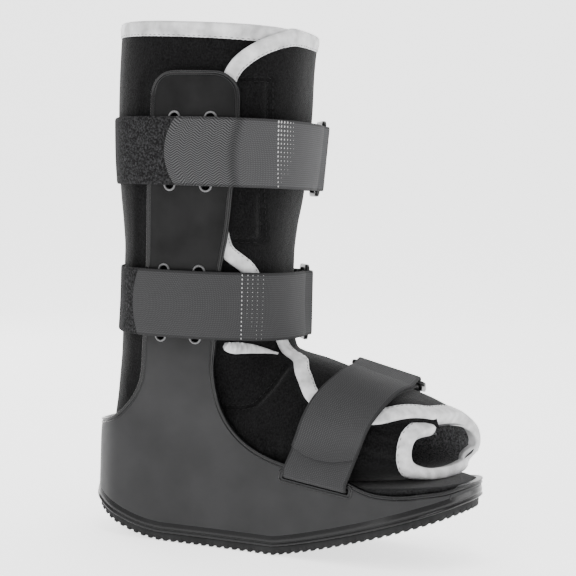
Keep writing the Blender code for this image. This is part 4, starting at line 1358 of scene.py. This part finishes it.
def foot_strap_run(share, side, stop, count):
    fall = np.radians(SLOT_FALL)
    x = SLOT_X + (0.5 - share) * STRAP_WIDTH * np.cos(fall)
    z = SLOT_Z - (x - SLOT_X) * np.tan(fall)
    wall = frame_side(x, z)
    off = wall + STRAP_EASE + GAP + STRAP_THICK / 2
    bend = STRAP_THICK / 2 + GAP
    run = [(wall - SHELL_WALL * 0.6, z), (off - bend, z)]
    for psi in np.radians((15, 30, 45, 60, 75, 90)):
        run.append((off - bend + bend * np.sin(psi), z + bend - bend * np.cos(psi)))
    edge = outline_height(x) + STRAP_THICK
    run += [(off, z + (edge - z) * part) for part in (0.6, 1.0)]
    points = [np.array([x, side * y, height]) for y, height in run]
    for angle in np.linspace(side * FOOT_LEAVES, stop, count):
        points.append(foot_strap_place(angle, share, foot_strap_lift(angle)))
    return points


def foot_ring_frame():
    lift = ring_lift(foot_strap_lift(FOOT_RING_ANGLE) + 2 * STRAP_EASE)

    def place(turn, share):
        return foot_strap_place(FOOT_RING_ANGLE + turn, share, lift)

    ahead, rearward = place(5, 0.5) - place(-5, 0.5), place(0, 1.0) - place(0, 0.0)
    return square_frame(place(0, 0.5), ahead, rearward, FOOT_RING_ANGLE)


def cut_back(points, length, count):
    run = length_along(points)
    at = np.linspace(0, run[-1] - length, count)
    return np.stack([np.interp(at, run, points[:, i]) for i in range(3)], axis=1)


def foot_strap_lines(side, tail_up, fall, shifts):
    middle, around, across, angle = foot_ring_frame()
    way = -side
    out = np.cross(around, across)
    stop = turn_off(lambda a: foot_strap_place(a, 0.5, 0), angle, way)
    shares = np.asarray(shifts) + 0.5
    runs = np.array([foot_strap_run(share, side, stop, 60) for share in shares])
    runs[:, 8:] = np.stack([smooth(run, 10) for run in runs[:, 8:]])
    normal = unit(np.cross(np.gradient(runs, shares, axis=0), np.gradient(runs, axis=1)) * side)
    over = (runs + normal * (STRAP_THICK + 2 * GAP))[:, 9:][:, ::-1]
    lines = []
    for share, run, back in zip(shares, runs, over):
        bar = middle + across * (share - 0.5) * STRAP_WIDTH - around * way * (RING_WINDOW + RING_BAR) / 2
        tail = cut_back(back, tail_up + FOOT_TAIL_ROUND * (2 * share - 1) ** 2, 70)
        lines.append(list(run) + hook(bar, around * way, out, fall) + list(tail))
    return np.array(lines), runs.shape[1]


# A strap's lines, as shares of its width from its middle
HALF_SHIFTS = np.array((0.1, 0.2, 0.3, 0.4, 0.46, 0.482, 0.494, 0.5))
SHIFTS = np.concatenate([-HALF_SHIFTS[::-1], [0], HALF_SHIFTS])


def build_webbing(name, lines, split, materials, node):
    """A strap from its lines: a band with rounded edges. Its inner and outer layers may differ."""
    along = np.gradient(lines, axis=1)
    across = np.gradient(lines, SHIFTS, axis=0)
    out = unit(np.cross(across, along))
    edge = 1 - np.clip((np.abs(SHIFTS) - 0.46) / 0.04, 0, 1) ** 2
    half = STRAP_THICK / 2 * np.sqrt(np.maximum(edge, 0.02))[:, None, None]
    top = lines + out * half
    bottom = lines - out * half
    rows, count = lines.shape[:2]
    loop = np.concatenate([top, bottom[::-1]])
    points = loop.transpose(1, 0, 2)
    run = length_along(lines[rows // 2])
    run = run[-1] - run
    place = np.concatenate([SHIFTS, SHIFTS[::-1]]) * STRAP_WIDTH
    uv = np.stack(np.broadcast_arrays(run[:, None], place[None]), axis=-1).reshape(-1, 2)
    faces = tube_faces(count, 2 * rows)
    piece = turn_out(add_mesh(name, points.reshape(-1, 3), faces, uv, sharp=50))
    for material in materials:
        piece.data.materials.append(material)
    if len(materials) > 1:
        first = np.array([min(face.vertices) for face in piece.data.polygons]) // (2 * rows)
        piece.data.polygons.foreach_set("material_index", (first >= split).astype(np.int32))
    dress(piece, None, "strap_webbing", node)


def stitch_dots(name, lines, first, dots, material):
    """Columns of light stitches across a tail, at places along the boot. They shrink down a column."""
    lean, places, sizes = dots
    middle = len(SHIFTS) // 2
    outs = unit(np.cross(np.gradient(lines, SHIFTS, axis=0), np.gradient(lines, axis=1)))
    spots, ways, normals, scales = [], [], [], []
    for place, (top, bottom) in zip(places, sizes):
        for row in range(DOT_ROWS):
            size = top + (bottom - top) * row / (DOT_ROWS - 1)
            if size > 0.25:
                shift = 0.465 - row * DOT_PITCH / STRAP_WIDTH
                k = int(np.searchsorted(SHIFTS, shift))
                part = (shift - SHIFTS[k - 1]) / (SHIFTS[k] - SHIFTS[k - 1])
                tail = lines[k - 1, first:] * (1 - part) + lines[k, first:] * part
                at = np.interp(-(place - lean * (shift + 0.5)), -tail[:, 0], np.arange(len(tail)))
                i = min(int(at), len(tail) - 2)
                spot = tail[i] + (tail[i + 1] - tail[i]) * (at - i)
                normal = outs[middle, first + i]
                spots.append(spot + normal * (STRAP_THICK / 2))
                ways.append(unit(lines[-1, first + i] - lines[0, first + i]))
                normals.append(normal)
                scales.append(size)
    rows = (np.array(spots), np.array(ways), np.array(normals))
    dashes(name, *rows, 1.6, 0.5, material, "strap_webbing", np.array(scales))


def build_ring(name, ring, material, node):
    """A ring of round-edged bars with rounded corners."""
    middle, around, across, _ = ring
    out = np.cross(around, across)
    outer = np.array([RING_WINDOW / 2 + RING_BAR, STRAP_WIDTH / 2 + 2 * GAP + RING_END])
    window = np.array([RING_WINDOW / 2, STRAP_WIDTH / 2 + 2 * GAP])
    outer_loop = rounded_box(-outer, outer, 4.0, 9)
    window_loop = rounded_box(-window, window, 1.2, 9)
    bar, rise = rounded(np.linspace(0, 360, 17)[:-1], 3.2)
    bar, rise = bar * 0.5 + 0.5, rise * RING_THICK / 2
    flat = window_loop[:, None] + (outer_loop - window_loop)[:, None] * bar[None, :, None]
    points = middle + around * flat[..., :1] + across * flat[..., 1:] + out * rise[None, :, None]
    rows, cols = points.shape[:2]
    piece = turn_out(add_mesh(name, points.reshape(-1, 3), grid_faces(rows, cols, True, True)))
    dress(piece, material, "ring_plastic", node)


def build_straps(pile, webbing, chevron, ring, thread):
    straps = (
        ("upper", UPPER_STRAP, UPPER_TAIL, chevron, UPPER_DOTS),
        ("middle", MIDDLE_STRAP, MIDDLE_TAIL, webbing, MIDDLE_DOTS),
    )
    for name, height, tail, tail_look, dots in straps:
        lines, split = calf_strap_lines(height, STRAP_START - 360, -tail, (150, 90), 1, SHIFTS, TAIL_BULGE)
        build_webbing(f"{name}_strap_band", lines, split, (pile, tail_look), f"{name}_strap")
        stitch_dots(f"{name}_strap_stitches", lines, split + FOLD_POINTS, dots, thread)
        lines, split = calf_strap_lines(height, TAB_START, TAB_TAIL, (30, 16), -1, SHIFTS, 0.0)
        build_webbing(f"{name}_tab_band", lines, split, (webbing,), f"{name}_ring_tab")
        build_ring(f"{name}_ring_loop", calf_ring_frame(height), ring, f"{name}_ring")
    lines, split = foot_strap_lines(-1, FOOT_TAIL_UP, FOOT_FALL, SHIFTS)
    build_webbing("forefoot_strap_band", lines, split, (webbing,), "forefoot_strap")
    lines, split = foot_strap_lines(1, TAB_TAIL_UP, TAB_FALL, SHIFTS)
    build_webbing("forefoot_tab_band", lines, split, (webbing,), "forefoot_ring_tab")
    build_ring("forefoot_ring_loop", foot_ring_frame(), ring, "forefoot_ring")


# Studio

CAMERA_TURN = 0.34  # Radians round the boot from its near side
CAMERA_FAR = 1.08476
CAMERA_HIGH = 0.26
CAMERA_YAW = 0.0025
CAMERA_PITCH = 0.0604
CAMERA_ROLL = 0.035
LENS = 1429.4 * 36 / 576
SKY = 0.95
SWEEP_GLOW = 1.7


def build_camera():
    heading = CAMERA_TURN + CAMERA_YAW
    level = np.cos(CAMERA_PITCH)
    forward = Vector((-np.sin(heading) * level, np.cos(heading) * level, -np.sin(CAMERA_PITCH)))
    right = Vector((np.cos(heading), np.sin(heading), 0))
    up = right.cross(forward)
    rolled_right = right * np.cos(CAMERA_ROLL) + up * np.sin(CAMERA_ROLL)
    rolled_up = up * np.cos(CAMERA_ROLL) - right * np.sin(CAMERA_ROLL)
    lens = bpy.data.cameras.new("camera")
    lens.lens = LENS
    lens.sensor_width = 36
    camera = bpy.data.objects.new("camera", lens)
    place = Vector((CAMERA_FAR * np.sin(CAMERA_TURN), -CAMERA_FAR * np.cos(CAMERA_TURN), CAMERA_HIGH))
    turned = Matrix((rolled_right, rolled_up, -forward)).transposed().to_4x4()
    camera.matrix_world = Matrix.Translation(place) @ turned
    bpy.context.scene.collection.objects.link(camera)
    bpy.context.scene.camera = camera


def area_light(name, place, size, power, target=(0, 0, 0.17)):
    lamp = bpy.data.lights.new(name, "AREA")
    lamp.shape = "DISK"
    lamp.size = size
    lamp.energy = power
    light = bpy.data.objects.new(name, lamp)
    light.location = place
    light.rotation_euler = (Vector(target) - Vector(place)).to_track_quat("-Z", "Y").to_euler()
    bpy.context.scene.collection.objects.link(light)


def build_studio():
    """A pale sweep under soft light from all sides."""
    glow = {"Emission_Color": (1, 1, 1, 1), "Emission_Strength": SWEEP_GLOW}
    sweep_look = Look("pale_sweep", (0.9, 0.9, 0.9), 0.85, **glow)
    sweep_look.vary(sweep_look.noise(90, 2), 0.995, 1.0)
    line = [(-7.0, 0.0), (2.0, 0.0)]
    line += [(2.0 + 2.0 * np.sin(turn), 2.0 - 2.0 * np.cos(turn)) for turn in np.radians(np.arange(6, 91, 6))]
    line += [(4.0, 7.0)]
    points = [(x, y, z) for x in (-8.0, 8.0) for y, z in line]
    mesh = bpy.data.meshes.new("sweep")
    mesh.from_pydata(points, [], grid_faces(2, len(line)))
    mesh.shade_smooth()
    mesh.materials.append(sweep_look.material)
    stage = bpy.data.objects.new("sweep", mesh)
    bpy.context.scene.collection.objects.link(stage)
    world = bpy.data.worlds.new("studio")
    world.use_nodes = True
    sky = world.node_tree.nodes["Background"]
    sky.inputs[0].default_value = (1, 1, 1, 1)
    sky.inputs[1].default_value = SKY
    bpy.context.scene.world = world
    area_light("key", (-0.9, -1.5, 1.6), 1.2, 16)
    area_light("side", (1.7, 0.3, 0.2), 0.8, 9)
    area_light("top", (0.2, -0.3, 1.9), 0.8, 12)
    area_light("back", (-1.5, 0.9, 0.8), 0.8, 12)
    area_light("low", (-0.2, -1.1, 0.1), 0.5, 1.5, (0.0, 0.0, 0.03))


def main():
    bead = bead_look()
    build_frame_wall(moulded_look())
    build_rim(bead)
    build_small_beads(bead, eyelet_look())
    build_outsole(rubber_look())
    build_insole(brushed_look("insole_cloth", 0.012))
    liner = Liner()
    liner.build(brushed_look("liner_cloth", 0.004), brushed_look("liner_foam", 0.06))
    tape = tape_look()
    build_bindings(liner, (tape, thread_look("grey_thread", 0.1)))
    build_seams(liner, tape, thread_look("dark_thread", 0.006))
    webbing = webbing_look("plain_webbing", 0.029, 0)
    chevron = webbing_look("chevron_webbing", 0.041, CHEVRON_RUN)
    build_straps(pile_look(), webbing, chevron, ring_look(), thread_look("light_thread", 0.45))
    build_camera()
    build_studio()


main()
